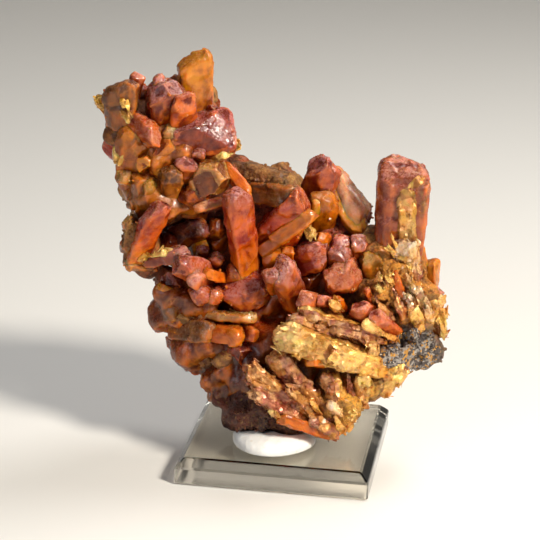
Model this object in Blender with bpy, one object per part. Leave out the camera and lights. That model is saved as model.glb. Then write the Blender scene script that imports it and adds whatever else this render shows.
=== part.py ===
"""An orpiment specimen held by a pat of white putty on a bevelled clear acrylic stand.

The row frame has its origin under the middle of the stand, +Z up and the stand's front edge along +X.
The specimen is laid out on its show face: an upright plane through the middle of the stand, turned
SHOW_TURN degrees. A place is (across, up, out): millimetres to the right and up on that plane, then
millimetres out from it, sliding along the line of sight so that it keeps its place in a front view.
"""

import math

import bmesh
import bpy
from mathutils import Matrix, Vector, bvhtree, noise

MM = 0.001

# The stand, an acrylic square with a bevel round its top
STAND_SIDE = 34.2
STAND_HEIGHT = 4.6
STAND_BEVEL = 1.5
STAND_EASED_EDGE = 0.25

# The putty, a pressed pat, and the gap that keeps touching solids apart
PUTTY_SPOT = (-2.2, 6.6)
PUTTY_RADIUS = 7.4
PUTTY_HEIGHT = 3.4
PUTTY_LIP = 1.0
PUTTY_WOBBLE = 0.03
PUTTY_RINGS = 7
PUTTY_SIDES = 30
TOUCH_GAP = 0.3
# It is pressed to this far under the specimen, which is felt for at places round each point
PRESS_GAP = 0.5
PRESS_REACH = 0.6
PRESS_SAMPLES = 6

# How the show face is turned, and the eye that it is laid out for
SHOW_TURN = math.radians(8.5)
EYE_ACROSS = -3.5
EYE_UP = 162.3
EYE_OUT = 367.1

# The rock body behind the crystals: middle (across, up, out), then half its width, height and depth
BODY_LUMPS = {
    "tower": ((-21.0, 57.5, -5.0), (9.0, 8.5, 8.0)),
    "tower shoulder": ((-28.0, 60.0, -3.5), (4.5, 5.5, 5.0)),
    "tower back": ((-17.5, 61.0, -6.0), (5.0, 4.5, 5.0)),
    "neck": ((-21.0, 50.0, -5.0), (8.5, 5.5, 7.5)),
    "left flank": ((-25.8, 41.0, -3.0), (3.6, 8.0, 6.0)),
    "cavity wall": ((-15.0, 42.0, -12.0), (10.0, 9.0, 5.0)),
    "roof root": ((-11.0, 51.0, -7.0), (4.5, 5.0, 5.0)),
    "back rim": ((-3.0, 46.5, -9.0), (9.0, 7.0, 6.0)),
    "back rim end": ((7.0, 44.0, -7.5), (6.5, 6.0, 5.5)),
    "middle": ((-4.0, 32.0, -5.5), (15.0, 8.0, 8.5)),
    "bowl floor": ((8.0, 33.0, -5.5), (8.5, 8.0, 7.0)),
    "right wall": ((17.0, 34.0, -0.5), (5.5, 8.5, 6.5)),
    "right ridge": ((22.0, 30.0, 0.5), (4.6, 7.5, 5.5)),
    "right foot": ((19.0, 21.5, 1.5), (7.5, 4.8, 6.5)),
    "ledge": ((11.0, 22.0, 2.0), (8.0, 5.0, 6.5)),
    "belly": ((-2.5, 20.5, -1.0), (13.4, 7.6, 8.0)),
    "left belly": ((-17.6, 29.4, -2.5), (6.8, 6.2, 7.0)),
    "left heel": ((-13.6, 21.4, -0.5), (6.2, 5.0, 6.4)),
    "heel": ((-9.6, 15.6, 1.0), (5.2, 6.6, 6.5)),
    "foot": ((-3.0, 9.3, 5.0), (10.4, 5.2, 6.0)),
    "foot end": ((8.6, 11.0, 5.5), (4.6, 5.6, 4.5)),
    "toe": ((14.6, 15.2, 3.5), (3.6, 3.6, 4.0)),
}
BODY_VOXEL = 1.31
BODY_TRIANGLES = 1800
SPECIMEN_TRIANGLES = 9300
BODY_ROUGHNESS = 1.3
BODY_ROUGHNESS_SCALE = 0.26

# Crystals that make the show face, in groups from the top down.
# root and tip (across, up, out), width across the sight, thickness, how it ends, turn about its axis
CROWN = (
    ("crown plate", (-16.8, 62.5, -2.7), (-17.3, 74.6, -2.0), 6.4, 3.6, "slant", 12),
    ("crown rose apex", (-15.4, 57.0, -4.0), (-13.0, 67.2, -0.5), 8.6, 6.4, "point", -25),
    ("crown rose block", (-16.4, 59.0, -6.0), (-16.0, 60.4, 4.8), 13.0, 8.8, "blunt", 8),
    ("crown dark plate", (-20.5, 62.0, -4.5), (-21.4, 70.6, -4.5), 5.2, 3.6, "slant", -15),
    ("crown knob", (-22.4, 60.0, -3.0), (-21.8, 68.8, 3.2), 8.0, 6.6, "round", 20),
    ("crown knob side", (-19.6, 61.0, -1.0), (-18.9, 66.6, 4.2), 5.8, 5.0, "blunt", 20),
    ("crown knob bead", (-22.8, 65.0, -1.0), (-23.3, 69.8, 2.2), 2.4, 2.4, "round", 0),
    ("crown dark back", (-26.5, 60.0, -5.0), (-26.3, 68.6, -4.0), 3.4, 3.0, "blunt", 10),
    ("horn plate", (-29.8, 60.6, -1.0), (-29.9, 69.9, 1.0), 7.2, 5.0, "slant", -14),
    ("horn spike", (-31.0, 64.0, -1.0), (-35.2, 66.2, -1.0), 3.0, 2.4, "point", 0),
    ("horn top", (-28.6, 64.0, -1.5), (-26.9, 70.7, -1.2), 3.2, 3.0, "blunt", 20),
    ("horn seam", (-29.6, 65.6, 2.4), (-27.6, 62.0, 4.0), 1.1, 1.2, "point", 0),
    ("horn seam foot", (-29.2, 63.2, 2.2), (-28.5, 61.2, 3.4), 1.0, 1.0, "blunt", 0),
    ("crown finger", (-28.6, 62.4, -1.0), (-23.3, 58.5, 5.0), 5.2, 4.0, "slant", 24),
    ("crown finger under", (-27.5, 60.0, -1.0), (-24.6, 57.6, 3.6), 2.2, 2.0, "blunt", 10),
    ("collar", (-16.0, 55.6, -3.0), (-9.5, 59.4, -0.5), 4.2, 5.0, "slant", -18),
    ("collar knob", (-11.0, 57.4, -3.0), (-9.2, 58.4, -1.5), 1.8, 1.8, "round", 0),
    ("collar lip", (-15.6, 55.0, -1.0), (-10.6, 57.2, 2.4), 2.4, 2.8, "wedge", 0),
    ("crown seat", (-22.0, 58.0, -2.0), (-20.4, 60.0, 3.0), 4.6, 3.6, "blunt", 15),
    ("tower slab", (-27.0, 50.6, -3.0), (-27.4, 60.6, 1.8), 7.4, 6.0, "blunt", -12),
    ("tower slab inner", (-22.8, 50.0, -3.0), (-22.6, 59.0, 3.0), 6.4, 6.0, "blunt", 18),
    ("tower slab edge", (-30.0, 59.0, -1.0), (-30.4, 53.8, 1.4), 1.8, 2.6, "wedge", 0),
    ("tower step", (-26.0, 54.6, -1.0), (-25.4, 54.4, 4.2), 4.4, 3.6, "blunt", 30),
)
BROW = (
    ("brow crystal", (-16.0, 52.61, -4.0), (-13.5, 51.3, 6.0), 8.8, 7.6, "blunt", 22),
    ("brow under", (-19.5, 50.5, -3.0), (-15.6, 48.4, 4.2), 6.4, 4.6, "blunt", -12),
    ("brow bead", (-20.0, 51.0, -1.0), (-18.0, 55.6, 4.4), 4.8, 4.4, "round", 20),
    ("brow small bead", (-16.8, 54.0, -1.0), (-16.2, 57.0, 3.4), 2.4, 2.4, "round", 0),
    ("brow side", (-21.8, 47.6, 0.0), (-20.8, 53.8, 4.4), 4.6, 4.4, "blunt", 15),
    ("neck slab", (-24.6, 44.6, -3.0), (-25.2, 52.4, 1.8), 6.6, 5.6, "blunt", 10),
    ("neck knob", (-27.6, 51.4, -2.0), (-30.0, 52.0, 1.6), 3.0, 3.0, "blunt", 0),
    ("neck lump", (-24.4, 49.6, -1.0), (-25.0, 50.2, 4.0), 4.4, 3.8, "blunt", 25),
    ("tongue", (-12.6, 47.6, 1.0), (-16.9, 46.1, 5.0), 1.7, 2.2, "round", 0),
    ("hero crystal", (-7.2, 33.0, 1.0), (-9.9, 50.0, 7.4), 6.4, 5.4, "round", 26),
    ("hero blade", (-12.0, 54.0, 0.5), (-7.0, 48.6, 4.4), 2.8, 3.2, "slant", -20),
    ("roof crystal", (-10.0, 53.6, -6.0), (1.0, 50.2, 0.5), 5.4, 6.4, "blunt", 15),
    ("roof wall", (-6.0, 38.6, -2.0), (3.2, 48.4, 4.2), 7.8, 6.0, "fall", 18),
    ("roof wall edge", (-5.2, 38.4, 2.4), (4.4, 46.4, 5.0), 2.6, 2.8, "wedge", 0),
    ("roof under", (-7.0, 49.6, -2.0), (1.2, 48.8, 3.4), 4.6, 4.4, "blunt", 12),
    ("roof back", (-2.6, 49.0, -8.0), (-1.4, 54.7, -6.0), 4.6, 4.0, "blunt", 0),
    ("back red", (4.4, 44.0, -7.0), (5.3, 56.0, -3.6), 7.2, 6.0, "blunt", -22),
    ("back rose", (6.2, 53.4, -8.0), (13.0, 43.8, -1.4), 6.2, 5.4, "round", 25),
    ("back amber", (6.8, 50.4, -5.6), (13.0, 41.9, -1.2), 4.2, 3.8, "blunt", -10),
    ("back gold", (5.0, 42.8, -4.0), (5.8, 49.4, -0.6), 6.0, 4.4, "blunt", 10),
    ("back leaf", (4.0, 44.6, -1.4), (4.2, 48.4, 1.0), 1.9, 2.2, "blunt", 20),
    ("yellow leaf", (2.2, 45.6, 1.0), (4.0, 40.9, 4.8), 2.2, 2.4, "wedge", 30),
    ("tan leaf", (-1.4, 43.2, 2.0), (-0.3, 40.2, 4.4), 1.7, 1.7, "point", 0),
)
BOWL = (
    ("bowl ember", (4.6, 38.4, 0.0), (5.8, 42.0, 3.0), 3.6, 3.2, "round", 15),
    ("bowl red", (-1.6, 36.2, -2.0), (6.4, 38.7, 3.8), 6.0, 5.4, "blunt", 10),
    ("bowl dark", (4.4, 31.8, -3.0), (2.8, 34.2, 3.0), 6.6, 5.0, "blunt", 20),
    ("bowl dome", (9.4, 35.8, -2.0), (9.2, 41.4, 2.2), 4.6, 4.2, "round", -10),
    ("bowl mauve dome", (12.0, 36.4, -1.0), (12.0, 41.6, 2.6), 3.6, 3.8, "round", 10),
    ("bowl pink", (8.8, 35.0, 0.0), (8.8, 39.2, 4.4), 5.0, 4.2, "blunt", -18),
    ("bowl olive", (15.0, 31.8, 0.0), (14.0, 39.0, 4.2), 4.6, 4.2, "round", 18),
    ("bowl block", (9.4, 35.4, -3.0), (9.4, 33.7, 7.4), 7.6, 6.8, "blunt", 14),
    ("bowl slanted", (1.4, 28.8, 3.0), (-1.9, 36.4, 8.2), 6.6, 5.4, "slant", 32),
    ("bowl facet", (-2.4, 31.6, 3.6), (-3.2, 34.8, 8.8), 3.6, 3.4, "blunt", 10),
    ("bowl lump", (-2.6, 35.0, 0.0), (-2.9, 39.2, 3.2), 4.4, 4.0, "round", 0),
    ("bowl bead", (-0.2, 36.4, 1.0), (-0.6, 39.6, 3.4), 2.2, 2.2, "round", 0),
    ("hero foot", (-10.6, 31.6, 0.0), (-8.8, 35.6, 4.0), 4.8, 4.2, "blunt", 20),
    ("pebble", (5.0, 29.0, 5.0), (2.4, 29.9, 10.6), 3.4, 2.9, "round", 0),
    ("pebble tail", (7.4, 29.0, 5.0), (5.6, 29.8, 9.6), 2.6, 2.0, "round", 0),
)
LEDGE = (
    ("ledge gold", (14.0, 24.8, 5.0), (2.2, 28.0, 10.2), 2.5, 6.0, "wedge", -16),
    ("ledge mauve", (16.5, 23.2, 6.0), (2.6, 26.8, 11.6), 2.0, 6.0, "wedge", 10),
    ("ledge brown", (17.0, 22.2, 5.0), (6.6, 24.6, 9.6), 1.8, 5.6, "wedge", 0),
    ("rose heap", (15.6, 25.4, 3.0), (11.6, 29.2, 8.2), 4.4, 4.6, "round", 18),
    ("rose heap side", (19.2, 24.2, 4.0), (14.6, 27.2, 8.8), 3.8, 3.6, "blunt", -24),
    ("ledge flake", (9.2, 27.8, 8.0), (7.0, 29.4, 10.4), 1.2, 1.4, "wedge", 0),
    ("ledge ember", (9.8, 27.6, 5.0), (8.3, 30.4, 8.0), 1.9, 1.8, "blunt", 15),
    ("ledge seam", (19.0, 22.6, 6.0), (13.4, 25.6, 9.4), 1.4, 1.8, "wedge", 0),
    ("gold slab", (15.4, 18.0, 6.0), (-2.0, 23.4, 14.0), 6.6, 4.2, "blunt", -26),
    ("gold slab end", (18.4, 17.0, 5.0), (7.0, 19.6, 12.6), 5.2, 4.4, "blunt", -20),
    ("gold slab top", (15.0, 19.8, 5.0), (0.2, 26.2, 12.0), 2.6, 5.4, "blunt", 14),
    ("gold slab lip", (9.6, 17.8, 6.0), (3.6, 17.9, 11.6), 1.6, 3.0, "wedge", 0),
    ("gold knob", (15.4, 18.6, 6.0), (15.3, 21.6, 9.8), 1.9, 1.9, "round", 0),
)
WALL = (
    ("tall crystal", (18.7, 33.0, 0.0), (19.5, 56.2, 0.8), 9.2, 6.8, "blunt", 4),
    ("tall crystal twin", (21.8, 42.2, 0.8), (22.6, 53.4, 1.6), 4.0, 6.0, "blunt", -10),
    ("tall crystal seam", (20.6, 36.6, 2.6), (20.0, 51.4, 3.6), 3.2, 2.4, "wedge", 0),
    ("tall crystal ridge", (19.0, 49.6, 3.2), (22.8, 53.0, 3.6), 1.6, 1.8, "wedge", 0),
    ("pale mass", (20.6, 33.6, 1.0), (20.2, 41.2, 4.6), 5.0, 3.8, "wedge", -10),
    ("tall crystal foot", (14.6, 32.0, -3.0), (14.6, 43.6, -0.6), 6.4, 5.4, "blunt", 0),
    ("flame a", (20.6, 36.6, 2.5), (17.4, 42.4, 5.6), 2.0, 1.8, "point", 20),
    ("flame b", (21.6, 37.2, 2.0), (20.0, 42.0, 4.4), 2.2, 2.0, "point", -15),
    ("flame c", (19.4, 37.0, 3.0), (17.0, 40.4, 6.2), 1.7, 1.6, "point", 10),
    ("flame d", (20.8, 34.6, 3.0), (20.2, 38.2, 5.4), 1.9, 1.8, "point", 0),
    ("rim spike", (23.6, 33.0, 0.0), (22.9, 41.3, 1.6), 3.0, 2.4, "point", 18),
    ("rim plate", (24.8, 28.0, -1.0), (25.0, 38.0, 0.6), 3.4, 3.2, "slant", -22),
    ("rim inner plate", (23.0, 32.0, 1.5), (21.6, 38.0, 3.6), 2.2, 2.0, "wedge", 20),
    ("mid spike", (19.8, 30.4, 4.0), (18.4, 36.3, 6.2), 2.2, 2.0, "point", 0),
    ("pale blade", (24.2, 27.6, 3.4), (20.4, 35.6, 6.2), 2.4, 2.2, "point", 24),
    ("pale blade side", (25.0, 26.6, 3.0), (22.8, 33.0, 5.2), 2.2, 2.0, "wedge", -12),
    ("flake a", (18.6, 30.8, 4.0), (15.6, 35.0, 7.2), 1.6, 1.6, "point", 12),
    ("flake b", (18.4, 31.8, 4.6), (17.2, 35.3, 7.2), 2.2, 1.8, "blunt", 30),
    ("flake c", (17.4, 30.2, 5.0), (15.2, 33.0, 7.8), 1.7, 1.6, "blunt", 0),
    ("flake d", (15.2, 27.4, 4.0), (13.6, 32.4, 7.2), 1.7, 1.8, "blunt", 20),
    ("lilac blade", (18.2, 26.4, 4.6), (14.8, 31.0, 8.0), 1.9, 1.8, "point", 0),
    ("mauve blade", (21.0, 26.0, 4.8), (18.5, 32.2, 7.2), 2.2, 2.0, "point", 22),
    ("mauve blade side", (22.4, 26.4, 4.0), (20.8, 31.4, 6.8), 2.0, 1.9, "point", 0),
    ("rim gold", (27.0, 23.6, 0.5), (25.8, 31.8, 3.4), 3.0, 2.8, "wedge", 15),
    ("rim gold low", (26.4, 29.0, 1.0), (28.1, 23.6, 3.4), 2.0, 2.2, "blunt", 10),
    ("yellow blade", (23.8, 24.0, 4.0), (21.9, 28.8, 6.8), 1.9, 1.8, "wedge", 0),
    ("white blade", (25.2, 25.0, 3.0), (24.2, 29.8, 5.8), 1.6, 1.6, "point", 0),
    ("gold foot", (16.4, 12.6, 5.0), (21.0, 18.4, 7.2), 4.4, 3.8, "blunt", 25),
    ("grey crumb a", (22.6, 21.0, 2.0), (22.8, 24.6, 6.0), 2.4, 2.2, "blunt", 30),
    ("grey crumb b", (24.8, 20.6, 1.5), (26.2, 21.4, 4.6), 2.6, 2.4, "blunt", 0),
    ("grey crumb c", (19.6, 20.2, 3.0), (18.4, 20.8, 7.4), 2.8, 2.6, "blunt", 15),
    ("grey crumb d", (22.6, 18.8, 2.0), (23.4, 18.6, 5.4), 2.8, 2.0, "blunt", 40),
)
FOOT = (
    ("bundle upper", (9.0, 4.8, 7.5), (-3.2, 19.6, 10.0), 4.4, 5.0, "blunt", 10),
    ("bundle middle", (8.6, 4.6, 8.0), (-7.8, 16.4, 11.8), 4.6, 5.0, "slant", -16),
    ("bundle lower", (6.8, 4.8, 8.6), (-6.4, 12.2, 12.6), 4.2, 4.4, "blunt", 20),
    ("bundle sheen", (5.8, 6.4, 9.5), (0.3, 13.2, 13.2), 2.8, 3.0, "wedge", 24),
    ("bundle keel", (7.6, 3.9, 9.4), (-1.4, 7.0, 12.6), 2.0, 3.0, "wedge", 0),
    ("bundle toe", (9.2, 3.7, 8.8), (4.8, 6.8, 11.8), 2.4, 3.0, "blunt", 12),
    ("bundle leaf", (6.4, 7.6, 10.0), (4.1, 10.5, 13.0), 1.1, 1.4, "point", 0),
    ("bundle tip", (-0.6, 7.0, 10.6), (-2.7, 8.3, 13.4), 1.1, 1.4, "blunt", 0),
    ("strut a", (9.9, 6.8, 8.0), (6.6, 15.8, 10.6), 2.3, 2.4, "blunt", 18),
    ("strut b", (11.0, 7.8, 7.0), (8.2, 16.0, 9.0), 2.0, 2.2, "wedge", 0),
    ("strut c", (12.2, 8.8, 6.5), (10.8, 16.4, 8.8), 2.2, 2.2, "point", -18),
    ("strut d", (13.6, 9.9, 5.5), (13.2, 16.4, 8.2), 3.2, 3.2, "blunt", 10),
    ("strut e", (16.4, 13.0, 3.0), (14.6, 11.8, 7.0), 3.0, 2.6, "round", 0),
    ("strut facet", (10.2, 8.0, 8.4), (7.6, 9.8, 11.6), 2.0, 2.0, "blunt", 20),
    ("toe spike", (10.2, 4.6, 8.0), (8.6, 7.8, 11.0), 1.6, 1.8, "point", 0),
    ("toe side", (10.8, 5.4, 7.0), (12.0, 9.6, 8.8), 2.2, 2.4, "blunt", 22),
    ("shade bit", (1.7, 13.2, 6.0), (0.7, 15.9, 9.0), 1.8, 1.8, "blunt", 0),
    ("shade wall", (-4.6, 18.0, 1.0), (-3.4, 23.4, 5.4), 6.4, 4.6, "blunt", 25),
)
FLANK = (
    ("heel finger", (-17.4, 23.8, 2.0), (-7.6, 22.3, 9.6), 4.0, 4.0, "round", 18),
    ("heel finger root", (-20.6, 23.6, 0.5), (-12.6, 23.2, 6.6), 4.2, 4.0, "round", 0),
    ("heel bit", (-9.6, 23.6, 4.0), (-5.4, 22.7, 8.6), 2.6, 2.2, "blunt", 0),
    ("heel ledge", (-20.0, 26.6, 1.0), (-5.8, 26.0, 6.6), 2.6, 4.8, "wedge", 12),
    ("heel red", (-8.6, 21.0, 2.0), (-7.6, 18.6, 8.8), 5.0, 4.8, "blunt", 20),
    ("belly block", (-8.4, 33.6, -1.0), (-6.6, 28.9, 6.2), 9.4, 6.6, "blunt", 8),
    ("flank cheek", (-19.0, 32.0, -1.0), (-22.6, 31.2, 3.4), 5.8, 4.8, "blunt", 15),
    ("flank cheek low", (-18.6, 27.8, -0.5), (-21.6, 26.9, 4.0), 5.2, 4.2, "blunt", -20),
    ("elbow", (-26.4, 36.0, 1.0), (-17.9, 37.9, 6.2), 3.2, 3.4, "round", 18),
    ("elbow seam", (-27.0, 36.8, 3.0), (-21.8, 38.1, 5.8), 1.2, 1.4, "wedge", 0),
    ("elbow lower", (-14.6, 34.0, 2.0), (-20.3, 36.0, 8.6), 5.0, 4.8, "blunt", 20),
    ("elbow facet", (-14.4, 32.4, 3.0), (-17.4, 33.2, 9.0), 3.4, 3.0, "blunt", -15),
    ("elbow amber", (-10.6, 33.2, 1.0), (-15.0, 34.2, 6.4), 2.0, 2.6, "blunt", 0),
    ("flank block", (-14.0, 31.4, 1.0), (-16.2, 29.7, 8.8), 4.4, 4.6, "blunt", 25),
    ("flank block side", (-12.4, 31.4, 1.0), (-13.6, 29.4, 8.2), 3.2, 3.4, "blunt", -20),
    ("pocket dome", (-14.4, 34.8, -2.0), (-12.4, 37.2, 3.4), 3.2, 3.0, "round", 10),
    ("pocket bead", (-15.6, 37.4, -3.0), (-15.4, 38.9, 1.6), 2.2, 1.6, "round", 0),
    ("pocket wall", (-17.0, 40.5, -11.0), (-18.2, 42.4, -3.4), 8.2, 5.2, "blunt", 20),
    ("pocket wall side", (-12.6, 40.0, -11.0), (-13.0, 43.4, -5.0), 4.2, 4.2, "blunt", -15),
    ("pocket roof", (-17.0, 47.0, -7.0), (-17.8, 45.8, -1.8), 4.6, 3.4, "blunt", 0),
    ("flank blade", (-18.0, 29.4, 2.0), (-23.3, 31.7, 3.8), 1.3, 2.0, "wedge", 0),
    ("left prop", (-27.4, 36.2, 1.0), (-22.8, 47.4, 6.8), 5.0, 4.6, "slant", 24),
    ("left prop side", (-28.2, 35.8, 0.0), (-27.8, 43.8, 3.2), 2.8, 3.0, "blunt", -12),
    ("corner lump", (-23.6, 35.4, 0.0), (-29.2, 35.8, 2.2), 3.0, 3.4, "round", 10),
    ("left edge upper", (-26.5, 42.5, -1.0), (-29.4, 43.6, 2.0), 3.0, 3.0, "blunt", 20),
    ("left edge lower", (-26.6, 38.6, -1.0), (-29.6, 39.6, 1.8), 3.4, 3.2, "blunt", 0),
    ("flank bump a", (-25.6, 46.8, -1.0), (-28.8, 47.6, 1.4), 2.8, 2.8, "round", 0),
    ("flank dark b", (-16.6, 26.6, 0.0), (-19.6, 25.4, 4.6), 3.4, 3.0, "round", 0),
    ("heel dark a", (-13.0, 19.0, 1.0), (-16.4, 17.8, 4.6), 4.4, 3.4, "round", 10),
    ("heel dark b", (-10.0, 16.6, 3.0), (-12.4, 18.8, 7.4), 3.8, 3.4, "round", 0),
    ("heel sliver", (-13.0, 14.6, 2.0), (-15.2, 13.6, 4.2), 2.8, 2.0, "blunt", 0),
)
GROUPS = (CROWN, BROW, BOWL, LEDGE, WALL, FOOT, FLANK)

# Crystals on the hidden back, in rows: height, first and last place across, how many, width of each,
# and how far out of the upright plane the rock's back is there
BACK_ROWS = (
    (65.5, -26.5, -18.0, 3, 4.6, -11.0),
    (59.0, -26.4, -14.5, 4, 5.0, -13.0),
    (52.0, -26.5, -14.0, 4, 5.0, -13.0),
    (45.5, -25.0, 9.0, 7, 5.4, -15.0),
    (38.0, -22.0, 17.5, 8, 5.4, -14.0),
    (30.5, -18.0, 24.0, 7, 5.4, -12.5),
    (22.5, -14.5, 23.0, 7, 5.4, -9.0),
    (15.5, -8.5, 14.0, 4, 5.0, -5.5),
)
BACK_REACH = 2.6
BACK_ROOT = 5.0
BACK_TILT = 0.7

# Half-width outline of a crystal, a rectangle with cut corners, before each crystal varies its corners
OUTLINE_CORNERS = ((-1, -1), (1, -1), (1, 1), (-1, 1))
CUT_LEAST = 0.16
CUT_MOST = 0.6
# How far up one side of a slanted end is, as a share of the crystal's width
SLANT = 0.2
# Least and most scale of a crystal's root, how far its tip may sit to one side as a share of its half
# width, and how long its end is: a share of its width, or at most this share of its length
ROOT_SCALE = (0.82, 0.96)
TIP_SHIFT = 0.22
END_PER_WIDTH = 0.42
LONGEST_END = 0.45
# Crystals wider than these have two and three corners cut, smaller ones just one
MEDIUM_WIDTH = 2.3
LARGE_WIDTH = 4.2


def spot(across, up, out):
    """A place on the show face as a point in the row frame, in metres."""
    share = out / EYE_OUT
    side = across + (EYE_ACROSS - across) * share
    height = up + (EYE_UP - up) * share
    x = side * math.cos(SHOW_TURN) + out * math.sin(SHOW_TURN)
    y = side * math.sin(SHOW_TURN) - out * math.cos(SHOW_TURN)
    return Vector((x, y, height)) * MM


def vary(seed, low, high):
    """A fixed number between low and high for this seed."""
    return low + (high - low) * (0.5 + 0.5 * math.sin(seed * 12.9898 + 4.1414))


def outline(width, seed):
    """The crystal's cross-section as points within -1 to 1, some of its corners cut by varied amounts."""
    points = []
    cuts = 1 + (width > MEDIUM_WIDTH) + (width > LARGE_WIDTH)
    for k, (x, y) in enumerate(OUTLINE_CORNERS):
        cut = vary(seed + 1.7 * k, CUT_LEAST, CUT_MOST)
        if (k + seed) % 4 >= cuts:
            points.append((x, y))
        elif x * y > 0:
            points += [(x, y - y * cut), (x - x * cut, y)]
        else:
            points += [(x - x * cut, y), (x, y - y * cut)]
    return points


def rings_of(end, length, width, seed):
    """Rings along a crystal: (share of its length, scale across, scale in depth, shift, slope of the ring).

    Every crystal is narrower at its root. Its end starts a little under half its width from the tip.
    """
    root = vary(seed + 0.3, *ROOT_SCALE)
    shift = vary(seed + 0.9, -TIP_SHIFT, TIP_SHIFT)
    tip = min(LONGEST_END, END_PER_WIDTH * width / length)
    if end == "point":
        return [(0, 1, 1, 0, 0), (0.45, 0.78, 0.8, 0, 0), (1, 0.1, 0.12, shift, 0)]
    rings = [(0, root, root, 0, 0)]
    if end == "wedge":
        return rings + [(1 - tip, 1, 1, 0, 0), (1, 0.72, 0.22, 0, 0)]
    if end in ("slant", "fall"):
        slope = SLANT * width / length * (1 if end == "slant" else -1)
        return rings + [(1 - 0.8 * tip, 1, 1, 0, slope), (1 - 0.3 * tip, 0.78, 0.7, shift, slope)]
    if end == "round":
        shoulder = (1 - 0.3 * tip, 0.72, 0.72, shift / 2, 0)
        return rings + [(1 - tip, 1, 1, 0, 0), shoulder, (1, 0.3, 0.3, shift, 0)]
    return rings + [(1 - 0.7 * tip, 1, 1, 0, 0), (1, 0.6, 0.56, shift, 0)]


def crystal(name, root, tip, width, thickness, end, turn):
    """One crystal as a closed mesh object, its faces flat. Its seed comes from its place."""
    seed = int(abs(10 * (root[0] + 3 * root[1] + 7 * tip[0])))
    start, finish = spot(*root), spot(*tip)
    along = finish - start
    length = along.length / MM
    sight = (spot(tip[0], tip[1], tip[2] + 1) - finish).normalized()
    side = along.cross(sight)
    if side.length < 0.35 * along.length:
        side = Vector((math.cos(SHOW_TURN), math.sin(SHOW_TURN), 0))
    side = (side - along * side.dot(along) / along.length_squared).normalized()
    spin = Matrix.Rotation(math.radians(turn), 3, along)
    turned = abs(math.cos(math.radians(turn))) + abs(math.sin(math.radians(turn))) * thickness / width
    across = spin @ side * (width / 2 / turned) * MM
    deep = spin @ along.normalized().cross(side) * (thickness / 2 / turned) * MM
    bm = bmesh.new()
    section = outline(width, seed)
    rings = []
    for share, wide, thick, shift, slope in rings_of(end, length, width, seed):
        ring = []
        for x, y in section:
            place = start + along * (share + slope * x)
            ring.append(bm.verts.new(place + across * (x * wide + shift) + deep * (y * thick)))
        rings.append(ring)
    count = len(section)
    for low, high in zip(rings, rings[1:]):
        for k in range(count):
            bm.faces.new((low[k], low[(k + 1) % count], high[(k + 1) % count], high[k]))
    bm.faces.new(rings[0][::-1])
    bm.faces.new(rings[-1])
    bmesh.ops.recalc_face_normals(bm, faces=bm.faces)
    return finished(name, bm)


def finished(name, bm):
    """A mesh object made from bm, with its faces pointing out."""
    mesh = bpy.data.meshes.new(name)
    bm.to_mesh(mesh)
    bm.free()
    made = bpy.data.objects.new(name, mesh)
    bpy.context.scene.collection.objects.link(made)
    return made


def show_face_axes():
    """Columns that turn (across, up, out) into the row frame."""
    across = Vector((math.cos(SHOW_TURN), math.sin(SHOW_TURN), 0))
    out = Vector((math.sin(SHOW_TURN), -math.cos(SHOW_TURN), 0))
    return Matrix((across, Vector((0, 0, 1)), out)).transposed()


def rock_body():
    """The rough body that the crystals grow from: ellipsoids fused, roughened and thinned to few faces."""
    bm = bmesh.new()
    axes = show_face_axes()
    for middle, halves in BODY_LUMPS.values():
        lump = bmesh.ops.create_icosphere(bm, subdivisions=3, radius=1)
        stretch = axes @ Matrix.Diagonal(Vector(halves) * MM)
        for vert in lump["verts"]:
            vert.co = spot(*middle) + stretch @ vert.co
    rough = finished("rock body", bm)
    fuse = rough.modifiers.new("fuse", "REMESH")
    fuse.mode = "VOXEL"
    fuse.voxel_size = BODY_VOXEL * MM
    fused = evaluated_copy(rough)
    for vert in fused.vertices:
        place = vert.co / MM * BODY_ROUGHNESS_SCALE
        vert.co += vert.normal * noise.noise(place) * 2 * BODY_ROUGHNESS * MM
    rough.modifiers.clear()
    rough.data = fused
    thin_out(rough, BODY_TRIANGLES / (2 * len(fused.polygons)))
    return rough


def thin_out(obj, ratio):
    """Collapses the shortest and flattest edges, until only this share of the triangles is left."""
    thin = obj.modifiers.new("thin", "DECIMATE")
    thin.ratio = ratio
    thin.use_collapse_triangulate = True
    obj.data = evaluated_copy(obj)
    obj.modifiers.clear()


def evaluated_copy(obj):
    """A plain mesh of the object with its modifiers applied."""
    bpy.context.view_layer.update()
    graph = bpy.context.evaluated_depsgraph_get()
    return bpy.data.meshes.new_from_object(obj.evaluated_get(graph))


def back_crystals():
    """Stubby crystals in rows over the hidden back, each leaning its own way."""
    made = []
    seed = 500
    for up, first, last, count, width, depth in BACK_ROWS:
        for k in range(count):
            seed += 1
            middle = 1 - abs(2 * (k + 0.5) / count - 1)
            across = first + (last - first) * (k + 0.5) / count + vary(seed, -1.2, 1.2)
            surface = depth * (0.55 + 0.45 * middle)
            root = (across, up + vary(seed + 0.2, -1.6, 1.6), surface + BACK_ROOT)
            reach = BACK_ROOT + BACK_REACH * vary(seed + 0.8, 0.6, 1.2)
            lean = (2 * (k + 0.5) / count - 1) * BACK_TILT + vary(seed + 0.4, -0.3, 0.3)
            rise = vary(seed + 0.6, 0.15, BACK_TILT + 0.2)
            tip = (root[0] + lean * reach, root[1] + rise * reach, root[2] - reach)
            end = ("blunt", "round", "slant", "fall")[seed % 4]
            wide = width * vary(seed + 1.1, 0.75, 1.25)
            made.append(crystal(f"back {seed}", root, tip, wide, wide * 0.9, end, 40 * k))
    return made


def joined(name, parts):
    """The meshes of parts in one object."""
    bm = bmesh.new()
    for part in parts:
        bm.from_mesh(part.data)
        bpy.data.objects.remove(part)
    return finished(name, bm)


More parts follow.
